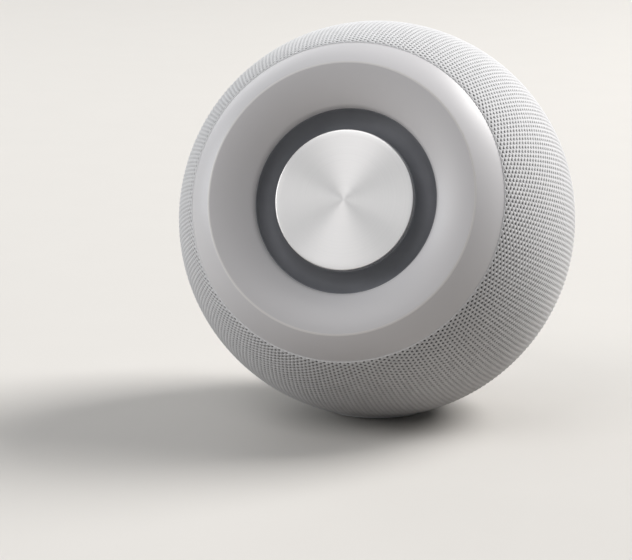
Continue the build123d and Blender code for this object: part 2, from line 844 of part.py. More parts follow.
# Rear cover with hooks, posts and openings for the buttons, socket, light and microphones
cover_hook_root = rear_flange_inner - hook_gap - hook_thickness / 2
cover_hook_tip = rear_flange_inside + hook_gap + hook_barb_height
cover_barb_root = cover_hook_root + hook_barb / 2
with BuildPart() as rear_cover:
    with BuildSketch(side_plane):
        with BuildLine():
            cover_edge = (cover_radius, cover_level)
            cover_root = (cover_root_radius, cover_inside)
            Polyline((0, cover_level), cover_edge, cover_root, (0, cover_inside), close=True)
        make_face()
        fillet(vertices().sort_by_distance(cover_edge)[0], cover_rounding)
    revolve(axis=face_axis)
    with BuildSketch(face_plane.offset(cover_inside)):
        with PolarLocations(cover_hook_root, cover_hook_count, start_angle=180 / cover_hook_count):
            Rectangle(hook_thickness, hook_width)
    extrude(amount=cover_hook_tip - cover_inside)
    with BuildSketch(face_plane.offset(cover_hook_tip)):
        with PolarLocations(cover_barb_root, cover_hook_count, start_angle=180 / cover_hook_count):
            Rectangle(hook_thickness + hook_barb, hook_width)
    extrude(amount=-hook_barb_height)
    inside_face = face_plane.offset(cover_inside)
    cover_depth = cover_inside - cover_level
    post_height = button_board_rear - cover_inside
    add(pegs(inside_face, post_places, post_radius, post_height))
    add(pegs(inside_face, post_places, screw_hole, post_height), mode=Mode.SUBTRACT)
    button_hole = button_radius + button_gap
    add(pegs(inside_face, button_places.values(), button_hole, -cover_depth), mode=Mode.SUBTRACT)
    add(pegs(inside_face, [(0, 0)], light_radius + button_gap, -cover_depth), mode=Mode.SUBTRACT)
    add(pegs(inside_face, mic_places, mic_port_radius, -cover_depth), mode=Mode.SUBTRACT)
    with BuildSketch(inside_face):
        with Locations((0, -socket_drop)):
            SlotOverall(socket_width + 2 * button_gap, socket_height + 2 * button_gap)
    extrude(amount=-cover_depth, mode=Mode.SUBTRACT)
save(rear_cover.part, "rear_cover")


# Push buttons: a cap through the cover, a retaining flange and a stem over its switch
flange_level = cover_inside + button_gap
for button_name, button_place in button_places.items():
    with BuildPart() as push_button:
        with BuildSketch(face_plane.offset(cover_level - button_proud)):
            with Locations(button_place):
                Circle(button_radius)
        extrude(amount=flange_level - cover_level + button_proud)
        fillet(edges().sort_by(face_axis)[0], button_rounding)
        with BuildSketch(face_plane.offset(flange_level)):
            with Locations(button_place):
                Circle(button_radius + button_flange_width)
        extrude(amount=button_flange_thickness)
        with BuildSketch(face_plane.offset(flange_level + button_flange_thickness)):
            with Locations(button_place):
                Circle(stem_radius)
        extrude(amount=stem_length)
    save(push_button.part, button_name)


# Button board with its switches
with BuildPart() as button_board:
    with BuildSketch(face_plane.offset(button_board_rear)):
        Circle(button_board_radius)
        with Locations(*post_places):
            Circle(screw_hole, mode=Mode.SUBTRACT)
    extrude(amount=button_board_thickness)
save(button_board.part, "button_board")

with BuildPart() as tact_switches:
    with BuildSketch(face_plane.offset(button_board_rear)):
        with Locations(*button_places.values()):
            RectangleRounded(switch_side, switch_side, switch_plunger_height)
    extrude(amount=-switch_height)
    with BuildSketch(face_plane.offset(button_board_rear - switch_height)):
        with Locations(*button_places.values()):
            Circle(stem_radius)
    extrude(amount=-switch_plunger_height)
save(tact_switches.part, "tact_switches")
board_seat = face_plane.offset(button_board_front)
button_screw_length = button_board_thickness + post_height - 2 * hook_gap
save(screw_group(board_seat, post_places, button_screw_length), "button_board_screws")


# Microphones behind their ports
with BuildPart() as microphones:
    with BuildSketch(face_plane.offset(cover_inside)):
        with Locations(*mic_places):
            Rectangle(mic_side, mic_side)
    extrude(amount=mic_height)
save(microphones.part, "microphones")


# Status light pipe from the board to the cover
with BuildPart() as status_light:
    with BuildSketch(face_plane.offset(cover_level - stroke_clearance)):
        Circle(light_radius)
    extrude(amount=flange_level - cover_level + stroke_clearance)
    fillet(edges().sort_by(face_axis)[0], light_rounding)
    with BuildSketch(face_plane.offset(flange_level)):
        Circle(light_radius + button_flange_width)
    extrude(amount=button_flange_thickness)
    with BuildSketch(face_plane.offset(flange_level + button_flange_thickness)):
        Circle(stem_radius)
    extrude(amount=button_board_rear - flange_level - button_flange_thickness)
save(status_light.part, "status_light")


# Power socket: a metal shell standing on the button board, with a tongue inside
socket_mouth = cover_level + socket_recess
socket_depth = button_board_rear - socket_mouth
with BuildPart() as power_socket:
    with BuildSketch(face_plane.offset(socket_mouth)):
        with Locations((0, -socket_drop)):
            SlotOverall(socket_width, socket_height)
    extrude(amount=socket_depth)
    with BuildSketch(face_plane.offset(socket_mouth)):
        with Locations((0, -socket_drop)):
            SlotOverall(socket_width - 2 * socket_wall, socket_height - 2 * socket_wall)
    extrude(amount=socket_depth - socket_floor, mode=Mode.SUBTRACT)
save(power_socket.part, "power_socket")

with BuildPart() as socket_tongue:
    with BuildSketch(face_plane.offset(socket_mouth + tongue_setback)):
        with Locations((0, -socket_drop)):
            Rectangle(tongue_width, tongue_thickness)
    extrude(amount=socket_depth - socket_floor - tongue_setback)
save(socket_tongue.part, "socket_tongue")


# Main board on the chamber's standoffs
with BuildPart() as main_board:
    with BuildSketch(face_plane.offset(main_board_rear)):
        Circle(main_board_radius)
        with Locations(*standoff_places):
            Circle(screw_hole, mode=Mode.SUBTRACT)
    extrude(amount=main_board_thickness)
save(main_board.part, "main_board")
main_screw_length = main_board_thickness + standoff_length - 2 * hook_gap
save(screw_group(rear_facing(main_board_rear), standoff_places, main_screw_length), "main_board_screws")
rib_seat = rear_facing(chamber_rear - seat_rib_depth)
shell_screw_length = seat_rib_depth + thread_depth - 2 * hook_gap
save(screw_group(rib_seat, shell_screw_places, shell_screw_length), "shell_screws")


# Parts on the main board
board_face = face_plane.offset(main_board_rear)
sheet = ribbon_thickness
with BuildPart() as shield_can:
    with BuildSketch(board_face):
        with Locations((0, shield_rise)):
            Rectangle(shield_length, shield_width)
    extrude(amount=-shield_height)
    with BuildSketch(board_face):
        with Locations((0, shield_rise)):
            Rectangle(shield_length - 2 * sheet, shield_width - 2 * sheet)
    extrude(amount=sheet - shield_height, mode=Mode.SUBTRACT)
save(shield_can.part, "shield_can")

with BuildPart() as heat_spreader:
    with BuildSketch(face_plane.offset(main_board_rear - shield_height)):
        with Locations((0, shield_rise)):
            Rectangle(shield_length + 2 * spreader_margin, shield_width + 2 * spreader_margin)
    extrude(amount=-spreader_thickness)
save(heat_spreader.part, "heat_spreader")

chip_places = [
    (-capacitor_side, capacitor_pitch / 2),
    (-capacitor_side, -capacitor_pitch / 2),
    (-chip_spread, -chip_drop),
    (chip_spread, -chip_drop),
]
with BuildPart() as board_chips:
    with BuildSketch(board_face):
        with Locations((0, shield_rise)):
            Rectangle(processor_side, processor_side)
        with Locations(*chip_places):
            Rectangle(chip_side, chip_side)
    extrude(amount=-chip_height)
save(board_chips.part, "board_chips")

capacitor_places = [(capacitor_side, capacitor_pitch / 2), (capacitor_side, -capacitor_pitch / 2)]
save(pegs(board_face, capacitor_places, capacitor_radius, -capacitor_height), "board_capacitors")

with BuildPart() as wifi_antenna:
    with BuildSketch(board_face):
        with Locations((0, antenna_place)):
            Rectangle(antenna_width, antenna_sheet, align=(Align.CENTER, Align.MIN))
    extrude(amount=-antenna_height)
    with BuildSketch(face_plane.offset(main_board_rear - antenna_height)):
        with Locations((0, antenna_place)):
            Rectangle(antenna_width, antenna_height - antenna_sheet, align=(Align.CENTER, Align.MIN))
    extrude(amount=antenna_sheet)
save(wifi_antenna.part, "wifi_antenna")


# Ribbon cable between the two boards
middle_plane = Plane(origin=ball_centre, x_dir=upper_direction, z_dir=(1, 0, 0))
with BuildPart() as ribbon_cable:
    with BuildSketch(middle_plane):
        with BuildLine():
            bay_middle = (button_board_front + main_board_rear) / 2
            near_side = ThreePointArc(
                (-ribbon_drop, button_board_front),
                (-ribbon_drop - ribbon_bow, bay_middle),
                (-ribbon_drop, main_board_rear),
            )
            far_side = ThreePointArc(
                (-ribbon_drop - ribbon_thickness, button_board_front),
                (-ribbon_drop - ribbon_bow - ribbon_thickness, bay_middle),
                (-ribbon_drop - ribbon_thickness, main_board_rear),
            )
            Line(near_side @ 0, far_side @ 0)
            Line(near_side @ 1, far_side @ 1)
        make_face()
    extrude(amount=ribbon_width / 2, both=True)
save(ribbon_cable.part, "ribbon_cable")


# Driver wires through a grommet in the chamber's rear wall
wire_start = driver_level - (ledge_outer + basket_wall) - hook_gap
wire_turn = wire_start - wire_bend - stroke_clearance
wire_height = spider_level - basket_wall
with BuildPart() as driver_wires:
    for wire_side, wire_low in wire_places:
        wire_plane = middle_plane.offset(wire_side)
        with BuildLine(wire_plane):
            FilletPolyline(
                (wire_height, wire_start),
                (wire_height, wire_turn),
                (wire_low, wire_turn),
                (wire_low, main_board_front),
                radius=wire_bend,
            )
        start_point = wire_plane.from_local_coords((wire_height, wire_start, 0))
        with BuildSketch(Plane(origin=start_point, x_dir=(1, 0, 0), z_dir=front_direction * -1)):
            Circle(wire_radius)
        sweep()
save(driver_wires.part, "driver_wires")

with BuildPart() as wire_grommet:
    inner_lip = face_plane.offset(chamber_rear + chamber_wall)
    outer_lip = face_plane.offset(chamber_rear)
    grommet_place = [(0, wire_exit)]
    add(pegs(outer_lip, grommet_place, grommet_radius - stroke_clearance, chamber_wall))
    add(pegs(inner_lip, grommet_place, grommet_radius + grommet_lip, grommet_lip_thickness))
    add(pegs(outer_lip, grommet_place, grommet_radius + grommet_lip, -grommet_lip_thickness))
    lip_face = face_plane.offset(chamber_rear - grommet_lip_thickness)
    grommet_depth = chamber_wall + 2 * grommet_lip_thickness
    add(pegs(lip_face, wire_places, wire_radius + stroke_clearance, grommet_depth), mode=Mode.SUBTRACT)
save(wire_grommet.part, "wire_grommet")


# Base weight, foot screws and rubber foot
with BuildPart() as base_weight:
    with BuildSketch(Plane.XY.offset(foot_pad_top)):
        Circle(ballast_radius)
        with Locations(*foot_screw_places):
            Circle(screw_hole, mode=Mode.SUBTRACT)
    extrude(amount=ballast_thickness)
save(base_weight.part, "base_weight")

foot_seat = Plane(origin=(0, 0, foot_screw_seat), x_dir=(1, 0, 0), z_dir=(0, 0, -1))
foot_screw_length = ballast_top - foot_screw_seat - 2 * hook_gap
save(screw_group(foot_seat, foot_screw_places, foot_screw_length), "foot_screws")

with BuildPart() as rubber_foot:
    with BuildSketch(Plane.XY):
        Circle(foot_radius)
    extrude(amount=foot_thickness)
    chamfer(edges().sort_by(Axis.Z)[0], foot_chamfer)
save(rubber_foot.part, "rubber_foot")
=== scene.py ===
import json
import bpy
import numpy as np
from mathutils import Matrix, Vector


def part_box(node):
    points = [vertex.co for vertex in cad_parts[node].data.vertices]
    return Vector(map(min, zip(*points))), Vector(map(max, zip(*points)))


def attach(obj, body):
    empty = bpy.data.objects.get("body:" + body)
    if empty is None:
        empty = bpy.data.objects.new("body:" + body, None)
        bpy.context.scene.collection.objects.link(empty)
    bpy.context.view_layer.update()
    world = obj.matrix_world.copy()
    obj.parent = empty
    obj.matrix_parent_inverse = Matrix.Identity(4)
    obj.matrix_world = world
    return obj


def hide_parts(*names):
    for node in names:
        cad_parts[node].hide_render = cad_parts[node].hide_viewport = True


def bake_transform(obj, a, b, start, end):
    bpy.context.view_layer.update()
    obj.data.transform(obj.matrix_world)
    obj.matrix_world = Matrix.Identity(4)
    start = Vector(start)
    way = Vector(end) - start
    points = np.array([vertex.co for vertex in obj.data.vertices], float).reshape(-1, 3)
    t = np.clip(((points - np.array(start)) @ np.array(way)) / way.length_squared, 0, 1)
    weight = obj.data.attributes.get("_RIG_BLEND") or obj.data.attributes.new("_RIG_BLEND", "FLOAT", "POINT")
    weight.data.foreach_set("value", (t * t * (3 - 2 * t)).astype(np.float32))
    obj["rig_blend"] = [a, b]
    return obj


bl_info = {
    "name": "Ball Speaker",
    "version": (1, 0, 0),
    "blender": (4, 5, 0),
    "location": "View3D > Sidebar > Speaker",
    "description": "Dresses a ball-shaped speaker: knit cover, front ring, spun disc, buttons and foot",
    "category": "Object",
}

from math import acos, asin, atan2, cos, hypot, radians, sin, tau

import bmesh
import bpy
import numpy as np
from mathutils import Matrix, Vector

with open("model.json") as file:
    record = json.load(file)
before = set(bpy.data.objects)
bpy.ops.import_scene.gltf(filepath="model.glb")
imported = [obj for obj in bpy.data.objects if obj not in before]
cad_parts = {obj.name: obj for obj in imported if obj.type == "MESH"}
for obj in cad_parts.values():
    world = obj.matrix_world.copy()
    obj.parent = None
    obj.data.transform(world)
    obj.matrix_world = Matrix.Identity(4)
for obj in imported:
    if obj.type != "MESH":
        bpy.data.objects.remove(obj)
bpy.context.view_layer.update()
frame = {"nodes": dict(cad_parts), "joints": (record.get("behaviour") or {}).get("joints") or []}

# The ball and its two axes, read from the frame
knit_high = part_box("knit_sleeve")[1]
ball_radius = knit_high.x
ball_centre = Vector((0.0, 0.0, knit_high.z - ball_radius))
slides = {joint["name"]: Vector(joint["axis"]) for joint in frame["joints"]}
across = Vector((1.0, 0.0, 0.0))
front = slides["radiator_slide"]
upper = slides["driver_slide"]
face_frame = Matrix.Translation(ball_centre) @ Matrix((across, upper, front)).transposed().to_4x4()
driver_low, driver_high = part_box("driver_surround")
driver_level = ((driver_low + driver_high) / 2 - ball_centre).dot(front)
driver_centre = ball_centre + front * driver_level
driver_frame = Matrix.Translation(driver_centre) @ Matrix((across, -front, upper)).transposed().to_4x4()
floor_frame = Matrix.Identity(4)

# How near two points are the same point
touching = 1e-7
near = 1e-5


# Settings


def length(name, description, default):
    """A size in metres that the sidebar shows. A level is a distance from the ball's centre."""
    return bpy.props.FloatProperty(
        name=name, description=description, default=default, subtype="DISTANCE", unit="LENGTH", precision=5
    )


def turning(name, description, default):
    """An angle, given in degrees, that the sidebar shows."""
    return bpy.props.FloatProperty(
        name=name, description=description, default=radians(default), subtype="ANGLE", unit="ROTATION"
    )


def colour(name, description, default):
    """A linear colour that the sidebar shows."""
    return bpy.props.FloatVectorProperty(
        name=name, description=description, default=default, size=3, subtype="COLOR", min=0.0, max=1.0
    )


def plain(name, description, default):
    """A plain number that the sidebar shows."""
    return bpy.props.FloatProperty(name=name, description=description, default=default)


def count(name, description, default, least=1):
    """A whole number that the sidebar shows."""
    return bpy.props.IntProperty(name=name, description=description, default=default, min=least)


class KnitSettings(bpy.types.PropertyGroup):
    """Sizes and colours of the knit cover."""

    columns: count("Columns", "Columns of holes round the front axis", 252, 16)
    rows: count("Rows", "Rows of holes between the two edges", 150, 8)
    front_edge: turning("Front edge", "Angle of the edge at the front ring", 52.18)
    rear_edge: turning("Rear edge", "Angle of the edge at the rear cover", 150.76)
    hole: length("Hole", "Half the length of a hole, along its column", 0.00036)
    swell: plain("Swell", "How far the sides of a hole swell out", 1.3)
    stretch: plain("Stretch", "How many times as wide as long a hole is", 1.2)
    taper: length("Taper", "How far a hole narrows on its way in", 0.00003)
    depth: length("Depth", "Depth of a hole", 0.00038)
    knuckle: length("Knuckle", "Height of the yarn between the holes", 0.00012)
    bridge: length("Bridge", "Sinking of the yarn between a column's holes", 0.00036)
    edge_drop: length("Edge drop", "Sinking of the edges", 0.00016)
    edge_width: turning("Edge width", "Angle over which the edges sink", 3.0)
    tuck: length("Tuck", "How far the edges turn in", 0.0006)
    foot_opening: length("Foot opening", "Radius of the opening round the foot", 0.0122)
    hem: length("Hem", "Half the thickness of the hem round the foot", 0.00042)
    yarn: colour("Yarn", "Colour of the yarn", (0.90, 0.91, 0.93))
    # Painted shade: the share by which the yarn between a column's holes goes over to the painted shade tone
    furrow_painted_shade: plain("Furrow", "Shade of the yarn between a column's holes", 0.28)
    # Painted shade: the dark tone painted at the inner rim of each hole's wall, where shade falls
    hole_painted_shade: colour("Depths", "Colour at the bottom of a hole", (0.22, 0.22, 0.225))


class RingSettings(bpy.types.PropertyGroup):
    """Sizes and colours of the flared front ring."""

    throat: length("Throat", "Inner radius", 0.0227)
    throat_level: length("Throat level", "Level of the throat", 0.03183)
    clamp_level: length("Clamp level", "Level of the clamping face", 0.03068)
    clamp: length("Clamp", "Outer radius of the clamping face", 0.0268)
    flare: length("Flare", "Radius of the flare's curve", 0.01906)
    flare_turn: turning("Flare turn", "Angle that the flare turns through", 34.28)
    flare_slope: turning("Flare slope", "Slope of the flare at the throat", 38.0)
    slope: length("Slope", "Radius of the outer slope's curve", 0.02674)
    slope_turn: turning("Slope turn", "Angle that the outer slope turns through", 17.2)
    rim: length("Rim", "Radius of the outer rim", 0.0390)
    rim_level: length("Rim level", "Level of the rim", 0.03032)
    wall: length("Wall", "Thickness at the rim", 0.0018)
    lip_edge: length("Lip edge", "Width of the rounding on the lip", 0.00034)
    throat_edge: length("Throat edge", "Radius of the rounding on the throat", 0.0021)
    # Painted highlight: the lighter tone painted on the lip's rounding stands in for the line of light along
    # the lip
    edge: colour("Edge", "Colour of the lip, where the plastic is thin", (0.88, 0.87, 0.87))
    plastic: colour("Plastic", "Colour of the moulded plastic", (0.745, 0.742, 0.762))


class RadiatorSettings(bpy.types.PropertyGroup):
    """Sizes and colours of the spun disc and its rubber surround."""

    disc: length("Disc", "Radius of the disc", 0.0172)
    disc_level: length("Disc level", "Level of the disc's back", 0.03068)
    disc_thickness: length("Disc thickness", "Thickness of the disc", 0.0020)
    disc_edge: length("Disc edge", "Rounding of the bright edge", 0.00035)
    roll: length("Roll", "Radius of the groove", 0.0026)
    roll_centre: length("Roll centre", "Radius of the middle of the groove", 0.01995)
    drop: length("Drop", "Height of the straight walls of the groove", 0.0008)
    skin: length("Skin", "Thickness of the rubber in the groove", 0.00025)
    flange: length("Flange", "Thickness of the rubber's edges", 0.0007)
    outer_edge: length("Outer edge", "Outer radius of the rubber", 0.0268)
    inner_edge: length("Inner edge", "Inner radius of the rubber", 0.0130)
    metal: colour("Metal", "Colour of the spun metal", (0.845, 0.835, 0.83))
    rubber: colour("Rubber", "Colour of the rubber", (0.25, 0.26, 0.285))


class ButtonSettings(bpy.types.PropertyGroup):
    """Sizes and colours of the push buttons."""

    radius: length("Radius", "Radius of a button", 0.0038)
    rounding: length("Rounding", "Rounding of a button's edge", 0.0004)
    dish: length("Dish", "Depth of the hollow in a button's top", 0.00022)
    flange: length("Flange", "Width of the retaining flange", 0.0007)
    stroke: length("Stroke", "Width of the lines of a mark", 0.00042)
    mark: length("Mark", "Length of the lines of a mark", 0.0026)
    print_height: length("Print height", "Height of a mark over the button", 0.00006)
    ink: colour("Ink", "Colour of the marks", (0.20, 0.205, 0.215))


class FootSettings(bpy.types.PropertyGroup):
    """Sizes and colour of the rubber foot."""

    radius: length("Radius", "Radius of the foot", 0.0115)
    thickness: length("Thickness", "Thickness of the foot", 0.0016)
    edge: length("Edge", "Width of the bevelled edge", 0.0004)
    groove: length("Groove", "Width and half the depth of a grip groove", 0.0006)
    grooves: count("Grooves", "Number of grip grooves", 5)
    rubber: colour("Rubber", "Colour of the rubber", (0.16, 0.16, 0.17))


class DriverSettings(bpy.types.PropertyGroup):
    """Sizes and colour of the driver's rubber roll, and sizes of the spider under it."""

    roll: length("Roll", "Inner radius of the roll", 0.00215)
    roll_centre: length("Roll centre", "Radius of the middle of the roll", 0.0147)
    drop: length("Drop", "Height of the straight walls of the roll", 0.0)
    skin: length("Skin", "Thickness of the rubber in the roll", 0.00025)
    flange: length("Flange", "Thickness of the rubber's edges", 0.0005)
    outer_edge: length("Outer edge", "Outer radius of the rubber", 0.01845)
    inner_edge: length("Inner edge", "Inner radius of the rubber", 0.01095)
    level: length("Level", "Level of the rubber's middle", 0.03964)
    rubber: colour("Rubber", "Colour of the rubber", (0.05, 0.05, 0.055))
    spider_inner: length("Spider inner", "Inner radius of the spider", 0.00675)
    spider_start: length("Spider start", "Radius at which the waves start", 0.0075)
    spider_rim: length("Spider rim", "Width of the flat rim outside the waves", 0.00215)
    spider_wave: length("Spider wave", "Height of the waves", 0.0005)
    spider_skin: length("Spider skin", "Thickness of the spider", 0.0004)
    spider_waves: count("Spider waves", "Number of waves", 4)


class StageSettings(bpy.types.PropertyGroup):
    """Camera, floor and light."""

    azimuth: turning("Azimuth", "Camera's angle from straight ahead", 15.0)
    elevation: turning("Elevation", "Camera's angle from level", 10.0)
    distance: length("Distance", "Camera's distance from the ball's centre", 0.700)
    aim_right: length("Aim right", "Camera's aim, right of the ball's centre", -0.01528)
    aim_up: length("Aim up", "Camera's aim, above the ball's centre", -0.01541)
    lens: plain("Lens", "Focal length in millimetres", 158.0)
    floor_size: length("Floor size", "Length of the floor's side", 9.0)
    floor: colour("Floor", "Colour of the floor", (0.70, 0.684, 0.656))
    bounce: colour("Bounce", "Colour of the light that the floor sends back", (0.34, 0.32, 0.30))
    backdrop: colour("Backdrop", "Colour of the light from all round", (0.95, 0.96, 0.97))
    daylight: plain("Daylight", "Strength of the light from all round", 0.20)
    wall: plain("Wall", "Brightness of the wall that is seen", 0.62)
    lamp_distance: length("Lamp distance", "Distance of the lamps from the ball's centre", 2.2)
    lamp_size: length("Lamp size", "Length of a lamp's side", 1.2)


# Modelling


def begin(bm, radius, level):
    """First point of a profile, as a radius and a level along the axis."""
    return bm.verts.new((radius, 0.0, level))


def run(bm, end, *points):
    """Carry a profile on in straight runs."""
    for radius, level in points:
        end = bmesh.ops.extrude_vert_indiv(bm, verts=[end])["verts"][0]
        end.co = (radius, 0.0, level)
    return end


def turn(bm, end, centre, angle, steps):
    """Carry a profile on along an arc about a centre, clockwise where the angle is above 0."""
    arc = bmesh.ops.spin(
        bm, geom=[end], cent=(centre[0], 0.0, centre[1]), axis=(0, 1, 0), angle=angle, steps=steps
    )
    return next(item for item in arc["geom_last"] if isinstance(item, bmesh.types.BMVert))


def revolve(bm, steps, angle=tau):
    """Turn the profile about the axis into a closed ring or disc, or a sector of one."""
    bmesh.ops.remove_doubles(bm, verts=bm.verts, dist=touching)
    profile = bm.verts[:] + bm.edges[:]
    whole = angle == tau
    bmesh.ops.spin(
        bm, geom=profile, cent=(0, 0, 0), axis=(0, 0, 1), angle=angle, steps=steps, use_merge=whole
    )
    bmesh.ops.remove_doubles(bm, verts=bm.verts, dist=touching)
    if not whole:
        bmesh.ops.holes_fill(bm, edges=[edge for edge in bm.edges if edge.is_boundary])
    bmesh.ops.recalc_face_normals(bm, faces=bm.faces)


def bevel(bm, geom, width, affect, segments):
    """Round off edges or corners, and return the new faces."""
    return bmesh.ops.bevel(
        bm, geom=geom, offset=width, affect=affect, segments=segments, profile=0.5, material=-1
    )["faces"]


def round_ring(bm, radius, level, width, segments):
    """Round off the ring of edges at one radius and level."""
    edges = [
        edge
        for edge in bm.edges
        if all(abs(hypot(*v.co.xy) - radius) < near and abs(v.co.z - level) < near for v in edge.verts)
    ]
    return bevel(bm, edges, width, "EDGES", segments)


def settle(bm, name, finishes, place, sharp=radians(32)):
    """Put a shape in its place in the speaker and make it a smooth-shaded piece."""
    bmesh.ops.transform(bm, matrix=place, space=Matrix.Identity(4), verts=bm.verts)
    mesh = bpy.data.meshes.new(name)
    bm.to_mesh(mesh)
    bm.free()
    for finish in finishes:
        mesh.materials.append(finish)
    mesh.shade_smooth()
    mesh.set_sharp_from_angle(angle=sharp)
    piece = bpy.data.objects.new(name, mesh)
    bpy.context.collection.objects.link(piece)
    return piece


def coordinates_of(mesh):
    """Every vertex of a mesh in the frame of the front axis, as rows of numbers."""
    points = np.empty(len(mesh.vertices) * 3)
    mesh.vertices.foreach_get("co", points)
    turned = np.array(face_frame.inverted())
    return points.reshape(-1, 3) @ turned[:3, :3].T + turned[:3, 3]


def fix(piece, body, slot, *nodes):
    """Let a piece move with a body, in the place of its nodes."""
    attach(piece, body)
    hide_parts(*nodes)
    return piece


def roll(node, body, rubber, place, spec, middle, bulge):
    """Rubber ring with a half-round roll, in two halves that meet at its crown and give."""
    arc_steps, ring_steps = 14, 160
    # The outer arc stops short of the flange, and a straight run joins the two.
    outer_share = 0.92
    near_face = middle - bulge * spec.flange / 2
    far_face = middle + bulge * spec.flange / 2
    level = middle + bulge * spec.drop
    crown = level + bulge * (spec.roll + spec.skin / 2)
    centre = (spec.roll_centre, level)
    still = place @ Vector((0.0, 0.0, middle))
    beyond = place @ Vector((0.0, 0.0, 2 * crown - middle))
    for part, side, edge in (("outer", 1, spec.outer_edge), ("inner", -1, spec.inner_edge)):
        quarter = side * bulge * tau / 4
        bm = bmesh.new()
        inner = begin(bm, centre[0], level + bulge * spec.roll)
        end = turn(bm, inner, centre, quarter, arc_steps)
        end = run(bm, end, (centre[0] + side * spec.roll, near_face))
        end = run(bm, end, (edge, near_face), (edge, far_face))
        outer = begin(bm, centre[0], level + bulge * (spec.roll + spec.skin))
        arc_end = turn(bm, outer, centre, quarter * outer_share, arc_steps)
        end = run(bm, end, (arc_end.co.x, far_face))
        bm.edges.new((end, arc_end))
        bm.edges.new((inner, outer))
        revolve(bm, ring_steps)
        piece = settle(bm, f"{node}_{part}", [rubber], place, sharp=radians(40))
        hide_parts(node)
        first, second = ("housing", body) if side == 1 else (body, "housing")
        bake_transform(piece, first, second, start=still, end=beyond)


# Finishes


def shader_input(finish, socket):
    """An input of a material's shader."""
    return finish.node_tree.nodes["Principled BSDF"].inputs[socket]


def new_finish(name, values):
    """A node material whose shader has these values."""
    finish = bpy.data.materials.new(name)
    finish.use_nodes = True
    for socket, value in values.items():
        shader_input(finish, socket).default_value = value
    return finish


def feed(finish, socket, output):
    """Link an output to an input of the material's shader."""
    finish.node_tree.links.new(output, shader_input(finish, socket))


def add(owner, kind, output, values, **options):
    """Output of a new node, with its options set and its sockets given a value or linked."""
    tree = owner.node_tree
    node = tree.nodes.new(f"ShaderNode{kind}")
    for option, choice in options.items():
        setattr(node, option, choice)
    for socket, value in values.items():
        if isinstance(value, bpy.types.NodeSocket):
            tree.links.new(value, node.inputs[socket])
        else:
            node.inputs[socket].default_value = value
    return node.outputs[output]


def place_of(finish, stretch=(1, 1, 1), turn_by=(0, 0, 0)):
    """Object coordinates, stretched and turned for a pattern."""
    coordinates = add(finish, "TexCoord", "Object", {})
    return add(finish, "Mapping", "Vector", {"Vector": coordinates, "Scale": stretch, "Rotation": turn_by})


def grain(finish, scale, detail=3.0, source=None):
    """Noise with about this many grains to the metre."""
    values = {"Vector": source or place_of(finish), "Scale": scale, "Detail": detail}
    return add(finish, "TexNoise", "Fac", values)


def bands(finish, scale, direction, source=None):
    """Fine parallel bands."""
    values = {"Vector": source or place_of(finish), "Scale": scale}
    return add(finish, "TexWave", "Fac", values, bands_direction=direction)


def tint(finish, pattern, low, high):
    """Colour that drifts between two tones."""
    values = {"Factor": pattern, "A": (*low, 1.0), "B": (*high, 1.0)}
    feed(finish, "Base Color", add(finish, "Mix", "Result", values, data_type="RGBA"))


def paint_light_by_attribute(finish, attribute, tone):
    """Painted light: colour that goes over to a painted tone of shade or highlight where an attribute of the
    mesh is high.
    """
    depth = add(finish, "Attribute", "Fac", {}, attribute_name=attribute)
    base = shader_input(finish, "Base Color").links[0].from_socket
    values = {"Factor": depth, "A": base, "B": (*tone, 1.0)}
    feed(finish, "Base Color", add(finish, "Mix", "Result", values, data_type="RGBA"))


def polish(finish, pattern, low, high):
    """Roughness that drifts between two values."""
    values = {"Value": pattern, "From Min": 0.3, "From Max": 0.7, "To Min": low, "To Max": high}
    feed(finish, "Roughness", add(finish, "MapRange", "Result", values))


def relief(finish, pattern, height, strength):
    """Fine relief of this height."""
    values = {"Height": pattern, "Distance": height, "Strength": strength}
    feed(finish, "Normal", add(finish, "Bump", "Normal", values))


def toned(tone, *shares):
    """A colour made lighter or darker by each of these shares."""
    return [[min(1.0, value * share) for value in tone] for share in shares]


def moulded(name, tone, roughness, texture, height, strength):
    """Moulded or cast material with a fine texture and slight drifts of tone and gloss."""
    finish = new_finish(name, {"Roughness": roughness})
    tint(finish, grain(finish, 90.0), *toned(tone, 0.95, 1.04))
    polish(finish, grain(finish, 260.0), roughness * 0.92, roughness * 1.10)
    relief(finish, grain(finish, texture, 4.0), height, strength)
    return finish


def pressed_metal(name, tone, roughness, stretch):
    """Rolled or plated metal with a faint grain in one direction."""
    finish = new_finish(name, {"Roughness": roughness, "Metallic": 1.0})
    streaks = grain(finish, 300.0, 5.0, place_of(finish, stretch))
    tint(finish, streaks, *toned(tone, 0.88, 1.08))
    polish(finish, streaks, roughness * 0.85, roughness * 1.2)
    relief(finish, streaks, 0.00001, 0.2)
    return finish


def soft_rubber(name, tone):
    """Matt rubber with a fine moulded skin."""
    finish = new_finish(name, {"Roughness": 0.55, "Specular IOR Level": 0.4})
    tint(finish, grain(finish, 150.0), *toned(tone, 0.88, 1.12))
    polish(finish, grain(finish, 500.0), 0.50, 0.62)
    relief(finish, grain(finish, 6500.0, 3.0), 0.00001, 0.25)
    return finish


def knit_yarn(spec):
    """Brushed yarn: fibres, a soft sheen and slight drifts of tone, with painted shade in the holes and
    between them.
    """
    sheen = {"Sheen Weight": 0.25, "Sheen Roughness": 0.45}
    finish = new_finish("knit_yarn", {"Roughness": 0.78, "Specular IOR Level": 0.25, **sheen})
    tint(finish, grain(finish, 420.0, 6.0), *toned(spec.yarn, 0.90, 1.07))
    # Painted shade: the yarn goes over to a painted dark tone in the holes and between them
    paint_light_by_attribute(finish, "painted_shade", spec.hole_painted_shade)
    relief(finish, grain(finish, 7000.0, 5.0), 0.00006, 0.55)
    return finish


